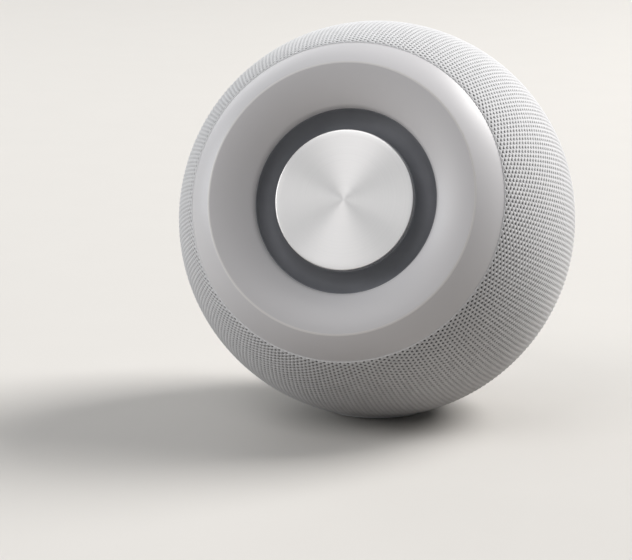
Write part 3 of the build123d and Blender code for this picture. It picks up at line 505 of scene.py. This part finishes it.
def satin_plastic(spec):
    """Satin white plastic of the front ring, rear cover and buttons, with a painted highlight on the ring's
    lip.
    """
    finish = new_finish("satin_plastic", {"Roughness": 0.35, "Specular IOR Level": 0.5})
    tint(finish, grain(finish, 70.0), *toned(spec.plastic, 0.99, 1.01))
    # Painted highlight: the lip's rounding goes over to a lighter painted tone
    paint_light_by_attribute(finish, "edge", spec.edge)
    polish(finish, grain(finish, 320.0), 0.33, 0.37)
    return finish


def spun_metal(spec):
    """Metal turned on a lathe: fine grooves round the middle and a highlight that fans out."""
    finish = new_finish("spun_metal", {"Roughness": 0.32, "Metallic": 1.0, "Anisotropic": 0.8})
    tangent = add(finish, "Tangent", "Tangent", {}, direction_type="UV_MAP", uv_map="turned")
    feed(finish, "Tangent", tangent)
    turned = add(finish, "UVMap", "UV", {}, uv_map="turned")
    along = add(finish, "Mapping", "Vector", {"Vector": turned, "Scale": (1.0, 0.004, 1.0)})
    grooves = grain(finish, 210.0, 6.0, along)
    tint(finish, grooves, *toned(spec.metal, 0.93, 1.05))
    relief(finish, grooves, 0.000004, 0.25)
    return finish


def mark_ink(spec):
    """Printed grey of the button marks."""
    finish = new_finish("mark_ink", {"Roughness": 0.5})
    tint(finish, grain(finish, 2500.0), *toned(spec.ink, 0.92, 1.08))
    return finish


def treated_weave():
    """Resin-treated cloth with a plain weave."""
    finish = new_finish("treated_weave", {"Roughness": 0.8})
    threads = {0: bands(finish, 700.0, "X"), 1: bands(finish, 700.0, "Y")}
    cross = add(finish, "Math", "Value", threads, operation="MULTIPLY")
    tint(finish, cross, (0.42, 0.25, 0.09), (0.68, 0.47, 0.22))
    relief(finish, cross, 0.0001, 0.5)
    return finish


def wound_copper():
    """Enamelled copper wire, wound in fine turns along the driver's axis."""
    finish = new_finish("wound_copper", {"Roughness": 0.32, "Metallic": 1.0})
    tilt = atan2(front.z, -front.y)
    turns = bands(finish, 900.0, "Z", place_of(finish, turn_by=(tilt, 0, 0)))
    tint(finish, turns, (0.30, 0.13, 0.06), (0.80, 0.42, 0.22))
    relief(finish, turns, 0.00008, 0.6)
    return finish


def solder_mask():
    """Green board with copper tracks that show faintly through its lacquer."""
    finish = new_finish("solder_mask", {"Roughness": 0.35})
    values = {"Vector": place_of(finish), "Scale": 420.0}
    cells = add(finish, "TexVoronoi", "Distance", values, distance="MANHATTAN")
    tint(finish, cells, (0.018, 0.11, 0.055), (0.045, 0.21, 0.11))
    relief(finish, cells, 0.00002, 0.3)
    return finish


def frosted_light():
    """Frosted light guide with a slightly milky body."""
    finish = new_finish("frosted_light", {"Roughness": 0.4, "Transmission Weight": 0.35, "IOR": 1.49})
    tint(finish, grain(finish, 1200.0), (0.80, 0.83, 0.86), (0.90, 0.92, 0.94))
    relief(finish, grain(finish, 5200.0), 0.00001, 0.3)
    return finish


def seen_rays(owner):
    """1 where the camera, metal or glass looks, and 0 where only light bounces."""
    seen = add(owner, "LightPath", "Is Camera Ray", {})
    rays = seen.node.outputs
    for kind in ("Is Glossy Ray", "Is Transmission Ray"):
        seen = add(owner, "Math", "Value", {0: seen, 1: rays[kind]}, operation="MAXIMUM")
    return seen


# Operators


class SPEAKER_OT_knit(bpy.types.Operator):
    """Knit cover: an open mesh of staggered holes, in four panels, with a hem round the foot"""

    bl_idname = "speaker.knit"
    bl_label = "Knit Cover"

    panels = 4
    # Where a cut runs between two columns
    cut = 0.3
    # Free margins of a panel's map in radians, and how far depth spreads in the map
    side_margin = 0.1
    end_margin = 0.02
    depth_share = 0.2

    @staticmethod
    def net(spec):
        """The bare cover: a turned arc, open round the foot."""
        bm = bmesh.new()
        bm.verts.layers.float.new("painted_shade")
        bm.verts.layers.float_vector.new("lie")
        radius = ball_radius - spec.knuckle
        start = begin(bm, radius * sin(spec.front_edge), radius * cos(spec.front_edge))
        turn(bm, start, (0.0, 0.0), spec.rear_edge - spec.front_edge, spec.rows)
        revolve(bm, spec.columns)
        face = next(iter(bm.faces))
        if face.normal.dot(face.calc_center_median()) < 0:
            bmesh.ops.reverse_faces(bm, faces=bm.faces)
        opening = []
        for vert in bm.verts:
            spot = face_frame @ vert.co
            if spot.z < ball_radius / 2 and hypot(*spot.xy) < spec.foot_opening:
                opening.append(vert)
        bmesh.ops.delete(bm, geom=opening, context="VERTS")
        return bm

    @staticmethod
    def sink(bm, spec):
        """Sink the edges and the yarn between holes, give that yarn its painted shade, and return the
        crossings that become holes.
        """
        painted_shade = bm.verts.layers.float["painted_shade"]
        radius = ball_radius - spec.knuckle
        row = (spec.rear_edge - spec.front_edge) / spec.rows
        column = tau / spec.columns
        crossings = []
        for vert in bm.verts:
            polar = acos(vert.co.z / radius)
            i = round(atan2(vert.co.y, vert.co.x) / column)
            j = round((polar - spec.front_edge) / row)
            inset = min(polar - spec.front_edge, spec.rear_edge - polar) / spec.edge_width
            sunk = spec.edge_drop * (1 - min(inset, 1.0)) ** 2
            if (i + j) % 2 == 0 and not vert.is_boundary:
                crossings.append(vert)
            else:
                sunk += spec.bridge
                # Painted shade on the sunk yarn between holes, and none at the edges
                vert[painted_shade] = 0.0 if vert.is_boundary else spec.furrow_painted_shade
            vert.co *= 1 - sunk / radius
        return crossings

    @staticmethod
    def round_holes(bm, crossings, spec):
        """Make each crossing a rounded hole, and return the faces that still fill the holes."""
        holes = bevel(bm, crossings, spec.hole, "VERTICES", 1)
        # Each side of a hole gets a point half-way, which is pushed out to round the hole.
        sides = list(dict.fromkeys(edge for hole in holes for edge in hole.edges))
        halves = set(bmesh.ops.bisect_edges(bm, edges=sides, cuts=1)["geom_split"])
        for hole in holes:
            middle = hole.calc_center_median()
            aside = Vector((-middle.y, middle.x, 0.0)).normalized()
            for vert in hole.verts:
                spoke = (vert.co - middle) * (spec.swell if vert in halves else 1.0)
                vert.co = middle + spoke + aside * spoke.dot(aside) * (spec.stretch - 1)
        return holes

    def lattice(self, spec):
        """The whole cover: a net with holes at every second crossing, raised yarn and tucked edges, with a
        painted shade weight on each point.
        """
        bm = self.net(spec)
        holes = self.round_holes(bm, self.sink(bm, spec), spec)
        painted_shade = bm.verts.layers.float["painted_shade"]
        lie = bm.verts.layers.float_vector["lie"]
        filled = set(holes)
        web = [face for face in bm.faces if face not in filled]
        height = spec.knuckle + spec.bridge / 3
        # The raised knuckles get no painted shade
        for vert in bmesh.ops.poke(bm, faces=web, offset=height, center_mode="MEAN_WEIGHTED")["verts"]:
            vert[painted_shade] = 0.0
        rims = [edge for edge in bm.edges if edge.is_boundary]
        bmesh.ops.inset_individual(bm, faces=holes, thickness=spec.taper, depth=-spec.depth)
        # Painted shade: each hole's wall darkens fully at its inner rim
        for hole in holes:
            for vert in hole.verts:
                vert[painted_shade] = 1.0
        bmesh.ops.delete(bm, geom=holes, context="FACES_ONLY")
        for vert in bmesh.ops.extrude_edge_only(bm, edges=rims)["geom"]:
            if isinstance(vert, bmesh.types.BMVert):
                vert.co *= 1 - spec.tuck / ball_radius
        bm.normal_update()
        for vert in bm.verts:
            vert[lie] = vert.normal
        return bm

    def panel(self, whole, number, spec, finishes):
        """One of the panels, cut out of the whole cover between two columns of holes."""
        bm = whole.copy()
        width = tau / self.panels
        start = number * width + self.cut * tau / spec.columns
        spare = []
        for face in bm.faces:
            middle = face.calc_center_median()
            if (atan2(middle.y, middle.x) - start) % tau >= width:
                spare.append(face)
        bmesh.ops.delete(bm, geom=spare, context="FACES")
        piece = settle(bm, f"knit_panel_{number + 1}", finishes, face_frame, sharp=tau / 2)
        mesh = piece.data
        self.shade_across(mesh)
        points = coordinates_of(mesh)
        reach = np.linalg.norm(points, axis=1)
        bearing = (np.arctan2(points[:, 1], points[:, 0]) - start + self.side_margin) % tau
        round_share = bearing / (width + 2 * self.side_margin)
        polar = np.arccos(points[:, 2] / reach) + (ball_radius - reach) / ball_radius * self.depth_share
        span = spec.rear_edge - spec.front_edge
        along_share = (polar - spec.front_edge + self.end_margin) / (span + 2 * self.end_margin)
        corners = np.empty(len(mesh.loops), dtype=np.int32)
        mesh.loops.foreach_get("vertex_index", corners)
        layout = mesh.uv_layers.new(name="OFBake")
        layout.data.foreach_set("uv", np.stack((round_share, along_share), axis=1)[corners].ravel())
        return piece

    @staticmethod
    def shade_across(mesh):
        """Shade a panel as part of the whole cover, so that no line shows where two panels meet."""
        lie = mesh.attributes["lie"]
        normals = np.empty(len(mesh.vertices) * 3)
        lie.data.foreach_get("vector", normals)
        mesh.attributes.remove(lie)
        turned = np.array(face_frame.to_3x3())
        mesh.normals_split_custom_set_from_vertices(normals.reshape(-1, 3) @ turned.T)

    @staticmethod
    def hem(spec, finishes):
        """The rolled hem round the foot."""
        bm = bmesh.new()
        middle = (spec.foot_opening + spec.hem / 2, 2 * spec.hem)
        start = begin(bm, middle[0] + spec.hem, middle[1])
        turn(bm, start, middle, tau, steps=12)
        revolve(bm, steps=120)
        return settle(bm, "knit_hem", finishes, floor_frame)

    def execute(self, context):
        spec = context.scene.speaker_knit
        finishes = [knit_yarn(spec)]
        whole = self.lattice(spec)
        pieces = [self.panel(whole, number, spec, finishes) for number in range(self.panels)]
        whole.free()
        hem = fix(self.hem(spec, finishes), "housing", "knit", "knit_sleeve")
        for piece in pieces:
            fix(piece, "housing", "knit", "knit_sleeve")
        return {"FINISHED"}


class SPEAKER_OT_ring(bpy.types.Operator):
    """Front ring: an outer slope that carries the ball on, a rounded lip and a flare down to the throat"""

    bl_idname = "speaker.ring"
    bl_label = "Front Ring"

    throat_steps, flare_steps, slope_steps, lip_steps, ring_steps = 10, 26, 16, 6, 256

    def outline(self, bm, spec):
        """Draw the ring's outline, and return the place of its lip."""
        centre = (
            spec.throat + spec.flare * sin(spec.flare_slope),
            spec.throat_level - spec.flare * cos(spec.flare_slope),
        )
        # The rounding of the throat runs from its upright wall into the flare.
        apart = spec.flare - spec.throat_edge
        bend = asin((centre[0] - spec.throat - spec.throat_edge) / apart)
        wall_top = centre[1] + apart * cos(bend)
        first = begin(bm, spec.throat, spec.clamp_level)
        end = run(bm, first, (spec.throat, wall_top))
        corner = (spec.throat + spec.throat_edge, wall_top)
        end = turn(bm, end, corner, tau / 4 - bend, self.throat_steps)
        rise = spec.flare_turn - spec.flare_slope + bend
        lip = turn(bm, end, centre, rise, self.flare_steps).co.copy()
        rim_angle = atan2(spec.rim_level, spec.rim)
        centre = (
            spec.rim - spec.slope * cos(rim_angle),
            spec.rim_level - spec.slope * sin(rim_angle),
        )
        rim = begin(bm, spec.rim, spec.rim_level)
        turn(bm, rim, centre, -spec.slope_turn, self.slope_steps)
        root = 1 - spec.wall / hypot(spec.rim, spec.rim_level)
        behind = 1.25 * spec.wall
        end = run(
            bm,
            rim,
            (spec.rim * root, spec.rim_level * root),
            (lip.x - behind, lip.z - behind),
            (spec.clamp, spec.throat_level),
            (spec.clamp, spec.clamp_level),
        )
        bm.edges.new((end, first))
        bmesh.ops.remove_doubles(bm, verts=bm.verts, dist=3 * near)
        return lip

    def execute(self, context):
        spec = context.scene.speaker_ring
        bm = bmesh.new()
        lip = self.outline(bm, spec)
        revolve(bm, self.ring_steps)
        edge = bm.verts.layers.float.new("edge")
        rounding = set(round_ring(bm, lip.x, lip.z, spec.lip_edge, self.lip_steps))
        # The lip's painted highlight, a lighter tone, shows only inside the rounding.
        for vert in bm.verts:
            vert[edge] = float(rounding.issuperset(vert.link_faces))
        ring = settle(bm, "front_ring", [satin_plastic(spec)], face_frame, sharp=radians(40))
        fix(ring, "housing", "white_plastic", "front_bezel")
        return {"FINISHED"}


class SPEAKER_OT_radiator(bpy.types.Operator):
    """Radiator: a spun disc with a bright edge, held by a rubber groove that gives as the disc moves"""

    bl_idname = "speaker.radiator"
    bl_label = "Radiator"

    def disc(self, spec):
        """The disc, with a map that runs out along its radius and round its middle."""
        rings, disc_steps, edge_steps = 12, 192, 6
        top = spec.disc_level + spec.disc_thickness
        bm = bmesh.new()
        end = begin(bm, 0.0, spec.disc_level)
        end = run(bm, end, (spec.disc, spec.disc_level), (spec.disc, top))
        run(bm, end, *[(spec.disc * ring / rings, top) for ring in range(rings - 1, -1, -1)])
        revolve(bm, disc_steps)
        round_ring(bm, spec.disc, top, spec.disc_edge, edge_steps)
        turned = bm.loops.layers.uv.new("turned")
        for flat in bm.faces:
            middle = flat.calc_center_median()
            bearing = atan2(middle.y, middle.x)
            for loop in flat.loops:
                reach = hypot(*loop.vert.co.xy)
                aside = atan2(loop.vert.co.y, loop.vert.co.x) if reach > touching else bearing
                swing = (aside - bearing + tau / 2) % tau - tau / 2
                loop[turned].uv = (reach / spec.disc, (bearing + swing) / tau + 0.5)
        return settle(bm, "radiator_disc", [spun_metal(spec)], face_frame, sharp=radians(20))

    def execute(self, context):
        spec = context.scene.speaker_radiator
        fix(self.disc(spec), "radiator", "spun_aluminium", "radiator_plate")
        rubber = soft_rubber("surround_rubber", spec.rubber)
        level = spec.disc_level - spec.flange / 2
        roll("radiator_surround", "radiator", rubber, face_frame, spec, level, -1)
        return {"FINISHED"}


class SPEAKER_OT_buttons(bpy.types.Operator):
    """Push buttons: four dished caps with printed marks"""

    bl_idname = "speaker.buttons"
    bl_label = "Buttons"

    # Rounding of a line's corners, as a share of its width
    corner = 0.45
    # Steps of the hollow, as shares of the button's radius and of the hollow's depth
    hollow = ((0.35, 0.85), (0.65, 0.5))

    def stroke(self, bm, spec, size, middle=(0.0, 0.0), turn_by=0.0):
        """One straight line of a mark."""
        spot = Matrix.Translation((*middle, 0.0)) @ Matrix.Rotation(turn_by, 4, "Z")
        shape = spot @ Matrix.Diagonal((size[0], size[1], spec.print_height * 2, 1.0))
        line = bmesh.ops.create_cube(bm, size=1.0, matrix=shape)["verts"]
        edges = dict.fromkeys(edge for vert in line for edge in vert.link_edges)
        upright = [e for e in edges if abs(e.verts[0].co.z - e.verts[1].co.z) > touching]
        bevel(bm, upright, min(size) * self.corner, "EDGES", segments=3)

    def mark(self, bm, spec, kind):
        """Plus, minus, dot or crossed-out microphone."""
        wide, thin = spec.mark, spec.stroke
        arm, away = (wide - thin) / 2, (wide + thin) / 4
        strokes = {
            "volume_up": [((wide, thin),), ((thin, arm), (0.0, away)), ((thin, arm), (0.0, -away))],
            "volume_down": [((wide, thin),)],
            "mute": [
                ((wide * 0.34, wide * 0.62), (0.0, wide * 0.18)),
                ((thin * 0.8, wide * 0.22), (0.0, -wide * 0.30)),
                ((wide * 0.5, thin * 0.8), (0.0, -wide * 0.48)),
                ((thin * 0.8, wide * 1.35), (wide * 0.02, 0.0), radians(45)),
            ],
        }
        for stroke in strokes.get(kind, ()):
            self.stroke(bm, spec, *stroke)
        if kind == "action":
            dot, height = thin * 1.3, spec.print_height * 2
            bmesh.ops.create_cone(bm, cap_ends=True, segments=32, radius1=dot, radius2=dot, depth=height)

    def cap(self, spec, top, shoulder, bottom):
        """A dished cap with its retaining flange."""
        radius, dish, rounding = spec.radius, spec.dish, spec.rounding
        wide = radius + spec.flange
        bm = bmesh.new()
        end = begin(bm, 0.0, top - dish)
        end = run(bm, end, *[(radius * out, top - dish * deep) for out, deep in self.hollow])
        end = run(bm, end, (radius - rounding * 1.8, top), (radius - rounding, top))
        end = turn(bm, end, (radius - rounding, top - rounding), tau / 4, steps=6)
        run(bm, end, (radius, shoulder), (wide, shoulder), (wide, bottom), (0.0, bottom))
        revolve(bm, steps=96)
        return bm

    def print_mark(self, bm, spec, kind, level):
        """Print a mark on a cap, in the second finish."""
        marks = bmesh.new()
        self.mark(marks, spec, kind)
        bmesh.ops.translate(marks, verts=marks.verts, vec=(0.0, 0.0, level))
        for face in marks.faces:
            face.material_index = 1
        printed = bpy.data.meshes.new("marks")
        marks.to_mesh(printed)
        marks.free()
        bm.from_mesh(printed)
        bpy.data.meshes.remove(printed)

    def execute(self, context):
        spec = context.scene.speaker_buttons
        finishes = [bpy.data.materials["satin_plastic"], mark_ink(spec)]
        for kind in ("volume_up", "volume_down", "action", "mute"):
            node = f"{kind}_button"
            points = coordinates_of(frame["nodes"][node].data)
            low, high = points.min(axis=0), points.max(axis=0)
            middle = Vector(((low[0] + high[0]) / 2, (low[1] + high[1]) / 2, 0.0))
            place = face_frame @ Matrix.Translation(middle) @ Matrix.Rotation(tau / 2, 4, "Y")
            flange = np.hypot(points[:, 0] - middle.x, points[:, 1] - middle.y) > spec.radius * 1.05
            top, shoulder, bottom = -low[2], -points[flange, 2].min(), -high[2]
            bm = self.cap(spec, top, shoulder, bottom)
            self.print_mark(bm, spec, kind, top - spec.dish)
            fix(settle(bm, f"{kind}_cap", finishes, place), kind, "white_plastic", node)
        return {"FINISHED"}


class SPEAKER_OT_foot(bpy.types.Operator):
    """Foot: a rubber disc with grip grooves in its underside"""

    bl_idname = "speaker.foot"
    bl_label = "Rubber Foot"

    def execute(self, context):
        spec = context.scene.speaker_foot
        bm = bmesh.new()
        end = begin(bm, 0.0, 0.0)
        pitch = (spec.radius - 2 * spec.edge) / (spec.grooves + 1)
        half = spec.groove / 2
        for number in range(1, spec.grooves + 1):
            middle = number * pitch
            end = run(bm, end, (middle - half, 0.0), (middle - half / 2, half))
            end = run(bm, end, (middle + half / 2, half), (middle + half, 0.0))
        end = run(bm, end, (spec.radius - spec.edge, 0.0), (spec.radius, spec.edge))
        run(bm, end, (spec.radius, spec.thickness), (0.0, spec.thickness))
        revolve(bm, steps=120)
        foot = settle(bm, "foot_pad", [soft_rubber("foot_rubber", spec.rubber)], floor_frame)
        fix(foot, "housing", "dark_rubber", "rubber_foot")
        return {"FINISHED"}


class SPEAKER_OT_driver(bpy.types.Operator):
    """Driver: the rubber roll round its cone, and the spider that centres its coil"""

    bl_idname = "speaker.driver"
    bl_label = "Driver"

    sectors = 12
    sector_steps = 8
    wave_steps = 8

    def spider(self, spec):
        """Corrugated spider, in sectors that give between the coil and the basket's ledge."""
        weave = treated_weave()
        corners = [driver_frame.inverted() @ Vector(c) for c in frame["nodes"]["driver_spider"].bound_box]
        outer = max(corner.x for corner in corners)
        level = min(corner.z for corner in corners)
        reach = outer - spec.spider_rim - spec.spider_start
        lower = [(spec.spider_inner, level)]
        for share in np.linspace(0.0, 1.0, self.wave_steps * spec.spider_waves + 1):
            crest = (1 - cos(tau * spec.spider_waves * share)) / 2
            lower.append((spec.spider_start + reach * share, level + spec.spider_wave * crest))
        lower.append((outer, level))
        face = [(radius, height + spec.spider_skin) for radius, height in reversed(lower)]
        for number in range(self.sectors):
            bm = bmesh.new()
            start = begin(bm, *lower[0])
            bm.edges.new((run(bm, start, *lower[1:], *face), start))
            revolve(bm, self.sector_steps, tau / self.sectors)
            middle = tau * (number + 0.5) / self.sectors
            place = driver_frame @ Matrix.Rotation(middle - tau / 2 / self.sectors, 4, "Z")
            piece = settle(bm, f"driver_spider_{number + 1}", [weave], place)
            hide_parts("driver_spider")
            outward = Vector((cos(middle), sin(middle), 0.0))
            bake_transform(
                piece,
                "driver_diaphragm",
                "housing",
                start=driver_frame @ (outward * spec.spider_start),
                end=driver_frame @ (outward * (spec.spider_start + reach)),
            )

    def execute(self, context):
        spec = context.scene.speaker_driver
        self.spider(spec)
        rubber = soft_rubber("driver_rubber", spec.rubber)
        roll("driver_surround", "driver_diaphragm", rubber, driver_frame, spec, spec.level, 1)
        return {"FINISHED"}


class SPEAKER_OT_finishes(bpy.types.Operator):
    """Finishes of the pieces that keep their own shape: covers, boards, metalwork and fasteners"""

    bl_idname = "speaker.finishes"
    bl_label = "Finishes"

    # Each finish and the nodes that wear it
    wearers = {
        "satin_plastic": "rear_cover",
        "black_plastic": "grille_shell_front grille_shell_rear acoustic_chamber driver_basket"
        " socket_tongue tact_switches",
        "grey_plastic": "radiator_frame front_baffle",
        "closed_foam": "chamber_gasket driver_gasket",
        "grommet_rubber": "wire_grommet",
        "zinc_steel": "front_screws driver_screws button_board_screws main_board_screws shell_screws"
        " foot_screws driver_top_plate driver_yoke radiator_weight base_weight",
        "rolled_aluminium": "heat_spreader board_capacitors",
        "nickel_shell": "power_socket shield_can microphones",
        "ferrite": "driver_magnet",
        "pressed_pulp": "driver_cone driver_dust_cap",
        "chip_resin": "board_chips",
        "wire_sleeve": "driver_wires",
        "ribbon_film": "ribbon_cable",
        "solder_mask": "main_board button_board wifi_antenna",
        "wound_copper": "driver_voice_coil",
        "frosted_light": "status_light",
    }

    # Name, colour, roughness, and the texture's scale, height and strength
    moulds = (
        ("black_plastic", (0.035, 0.035, 0.04), 0.5, 3000.0, 0.00003, 0.4),
        ("grey_plastic", (0.42, 0.42, 0.44), 0.5, 2600.0, 0.00003, 0.4),
        ("closed_foam", (0.03, 0.03, 0.032), 0.9, 1400.0, 0.00015, 0.8),
        ("ferrite", (0.05, 0.05, 0.053), 0.55, 1800.0, 0.00008, 0.6),
        ("pressed_pulp", (0.05, 0.05, 0.055), 0.85, 1500.0, 0.00012, 0.7),
        ("chip_resin", (0.03, 0.03, 0.033), 0.45, 3600.0, 0.00002, 0.4),
        ("wire_sleeve", (0.45, 0.03, 0.03), 0.4, 2200.0, 0.00001, 0.2),
        ("ribbon_film", (0.50, 0.24, 0.05), 0.3, 900.0, 0.00002, 0.2),
    )
    # Name, colour, roughness and stretch of the grain
    metals = (
        ("zinc_steel", (0.62, 0.62, 0.60), 0.34, (1.0, 6.0, 1.0)),
        ("rolled_aluminium", (0.76, 0.76, 0.78), 0.36, (1.0, 1.0, 8.0)),
        ("nickel_shell", (0.60, 0.59, 0.57), 0.24, (4.0, 1.0, 1.0)),
    )

    def execute(self, context):
        finishes = {
            "satin_plastic": bpy.data.materials["satin_plastic"],
            "grommet_rubber": soft_rubber("grommet_rubber", (0.05, 0.05, 0.055)),
            "solder_mask": solder_mask(),
            "wound_copper": wound_copper(),
            "frosted_light": frosted_light(),
        }
        # The frame's own materials share some of these names, so no lookup by name.
        finishes.update({mould[0]: moulded(*mould) for mould in self.moulds})
        finishes.update({metal[0]: pressed_metal(*metal) for metal in self.metals})
        for name, nodes in self.wearers.items():
            for node in nodes.split():
                materials = frame["nodes"][node].data.materials
                materials.clear()
                materials.append(finishes[name])
        return {"FINISHED"}


def heading(azimuth, elevation):
    """Direction from the ball to the camera or a lamp."""
    return Vector((sin(azimuth) * cos(elevation), -cos(azimuth) * cos(elevation), sin(elevation)))


class SPEAKER_OT_stage(bpy.types.Operator):
    """Stage: a pale floor, soft light and the camera"""

    bl_idname = "speaker.stage"
    bl_label = "Stage"

    # Name, azimuth and elevation in degrees, power in watts, and colour of each lamp
    lamps = (
        ("sun_lamp", 130.0, 40.0, 58.0, (1.0, 0.98, 0.96)),
        ("fill_lamp", -62.0, 15.0, 9.0, (1.0, 0.96, 0.93)),
        ("sky_lamp", -85.0, 12.0, 12.0, (0.90, 0.96, 1.0)),
        ("top_lamp", -24.0, 54.0, 8.4, (1.0, 0.98, 0.98)),
        ("rim_lamp", -140.0, 25.0, 6.0, (1.0, 0.99, 0.98)),
    )

    def lamp(self, spec, name, azimuth, elevation, energy, tone):
        """A soft square lamp that faces the speaker from one side."""
        light = bpy.data.lights.new(name, "AREA")
        light.size = spec.lamp_size
        light.energy = energy
        light.color = tone
        lamp = bpy.data.objects.new(name, light)
        direction = heading(radians(azimuth), radians(elevation))
        lamp.location = ball_centre + direction * spec.lamp_distance
        lamp.rotation_euler = direction.to_track_quat("Z", "Y").to_euler()
        bpy.context.collection.objects.link(lamp)

    def floor(self, spec):
        """A plain floor with a faint grain, which bounces less light than it shows."""
        finish = new_finish("floor_paint", {"Roughness": 0.7})
        tint(finish, grain(finish, 40.0), *toned(spec.floor, 0.985, 1.01))
        relief(finish, grain(finish, 900.0), 0.0001, 0.1)
        tree = finish.node_tree
        paint = tree.nodes["Principled BSDF"].outputs["BSDF"]
        bounce = add(finish, "BsdfDiffuse", "BSDF", {"Color": (*spec.bounce, 1.0)})
        both = add(finish, "MixShader", "Shader", {"Fac": seen_rays(finish), 1: bounce, 2: paint})
        tree.links.new(both, tree.nodes["Material Output"].inputs["Surface"])
        bm = bmesh.new()
        bmesh.ops.create_grid(bm, x_segments=8, y_segments=8, size=spec.floor_size / 2)
        settle(bm, "floor", [finish], floor_frame)

    def camera(self, spec):
        """The camera, at the photograph's angle."""
        direction = heading(spec.azimuth, spec.elevation)
        right = Vector((cos(spec.azimuth), sin(spec.azimuth), 0.0))
        above = direction.cross(right)
        lens = bpy.data.cameras.new("camera")
        lens.lens = spec.lens
        lens.sensor_width = 36.0
        lens.clip_start = 0.01
        camera = bpy.data.objects.new("camera", lens)
        camera.location = ball_centre + direction * spec.distance
        aim = ball_centre + right * spec.aim_right + above * spec.aim_up
        camera.rotation_euler = (aim - camera.location).to_track_quat("-Z", "Y").to_euler()
        bpy.context.collection.objects.link(camera)
        bpy.context.scene.camera = camera

    def studio(self, spec):
        """Soft light from all round, and a paler wall where the camera, metal or glass sees it."""
        world = bpy.data.worlds.new("studio")
        world.use_nodes = True
        backdrop = world.node_tree.nodes["Background"]
        backdrop.inputs["Color"].default_value = (*spec.backdrop, 1.0)
        values = {"Value": seen_rays(world), "To Min": spec.daylight, "To Max": spec.wall}
        level = add(world, "MapRange", "Result", values)
        world.node_tree.links.new(level, backdrop.inputs["Strength"])
        return world

    def execute(self, context):
        spec = context.scene.speaker_stage
        scene = context.scene
        scene.view_settings.view_transform = "Standard"
        self.floor(spec)
        self.camera(spec)
        for lamp in self.lamps:
            self.lamp(spec, *lamp)
        scene.world = self.studio(spec)
        return {"FINISHED"}


class SPEAKER_PT_panel(bpy.types.Panel):
    """Sidebar list of the speaker's pieces"""

    bl_idname = "SPEAKER_PT_panel"
    bl_label = "Ball Speaker"
    bl_space_type = "VIEW_3D"
    bl_region_type = "UI"
    bl_category = "Speaker"

    def draw(self, context):
        for operator, group, kind in steps:
            box = self.layout.box()
            box.operator(operator.bl_idname)
            for name in kind.__annotations__ if kind else ():
                box.prop(getattr(context.scene, group), name)


# Each operator and its group of properties
steps = (
    (SPEAKER_OT_stage, "speaker_stage", StageSettings),
    (SPEAKER_OT_knit, "speaker_knit", KnitSettings),
    (SPEAKER_OT_ring, "speaker_ring", RingSettings),
    (SPEAKER_OT_radiator, "speaker_radiator", RadiatorSettings),
    (SPEAKER_OT_buttons, "speaker_buttons", ButtonSettings),
    (SPEAKER_OT_foot, "speaker_foot", FootSettings),
    (SPEAKER_OT_driver, "speaker_driver", DriverSettings),
    (SPEAKER_OT_finishes, "", None),
)


def register():
    for operator, group, kind in steps:
        if kind:
            bpy.utils.register_class(kind)
            setattr(bpy.types.Scene, group, bpy.props.PointerProperty(type=kind))
        bpy.utils.register_class(operator)
    bpy.utils.register_class(SPEAKER_PT_panel)


def unregister():
    bpy.utils.unregister_class(SPEAKER_PT_panel)
    for operator, group, kind in reversed(steps):
        bpy.utils.unregister_class(operator)
        if kind:
            delattr(bpy.types.Scene, group)
            bpy.utils.unregister_class(kind)


def main():
    register()
    bpy.ops.speaker.stage()
    bpy.ops.speaker.knit()
    bpy.ops.speaker.ring()
    bpy.ops.speaker.radiator()
    bpy.ops.speaker.buttons()
    bpy.ops.speaker.foot()
    bpy.ops.speaker.driver()
    bpy.ops.speaker.finishes()


if __name__ == "__main__":
    main()
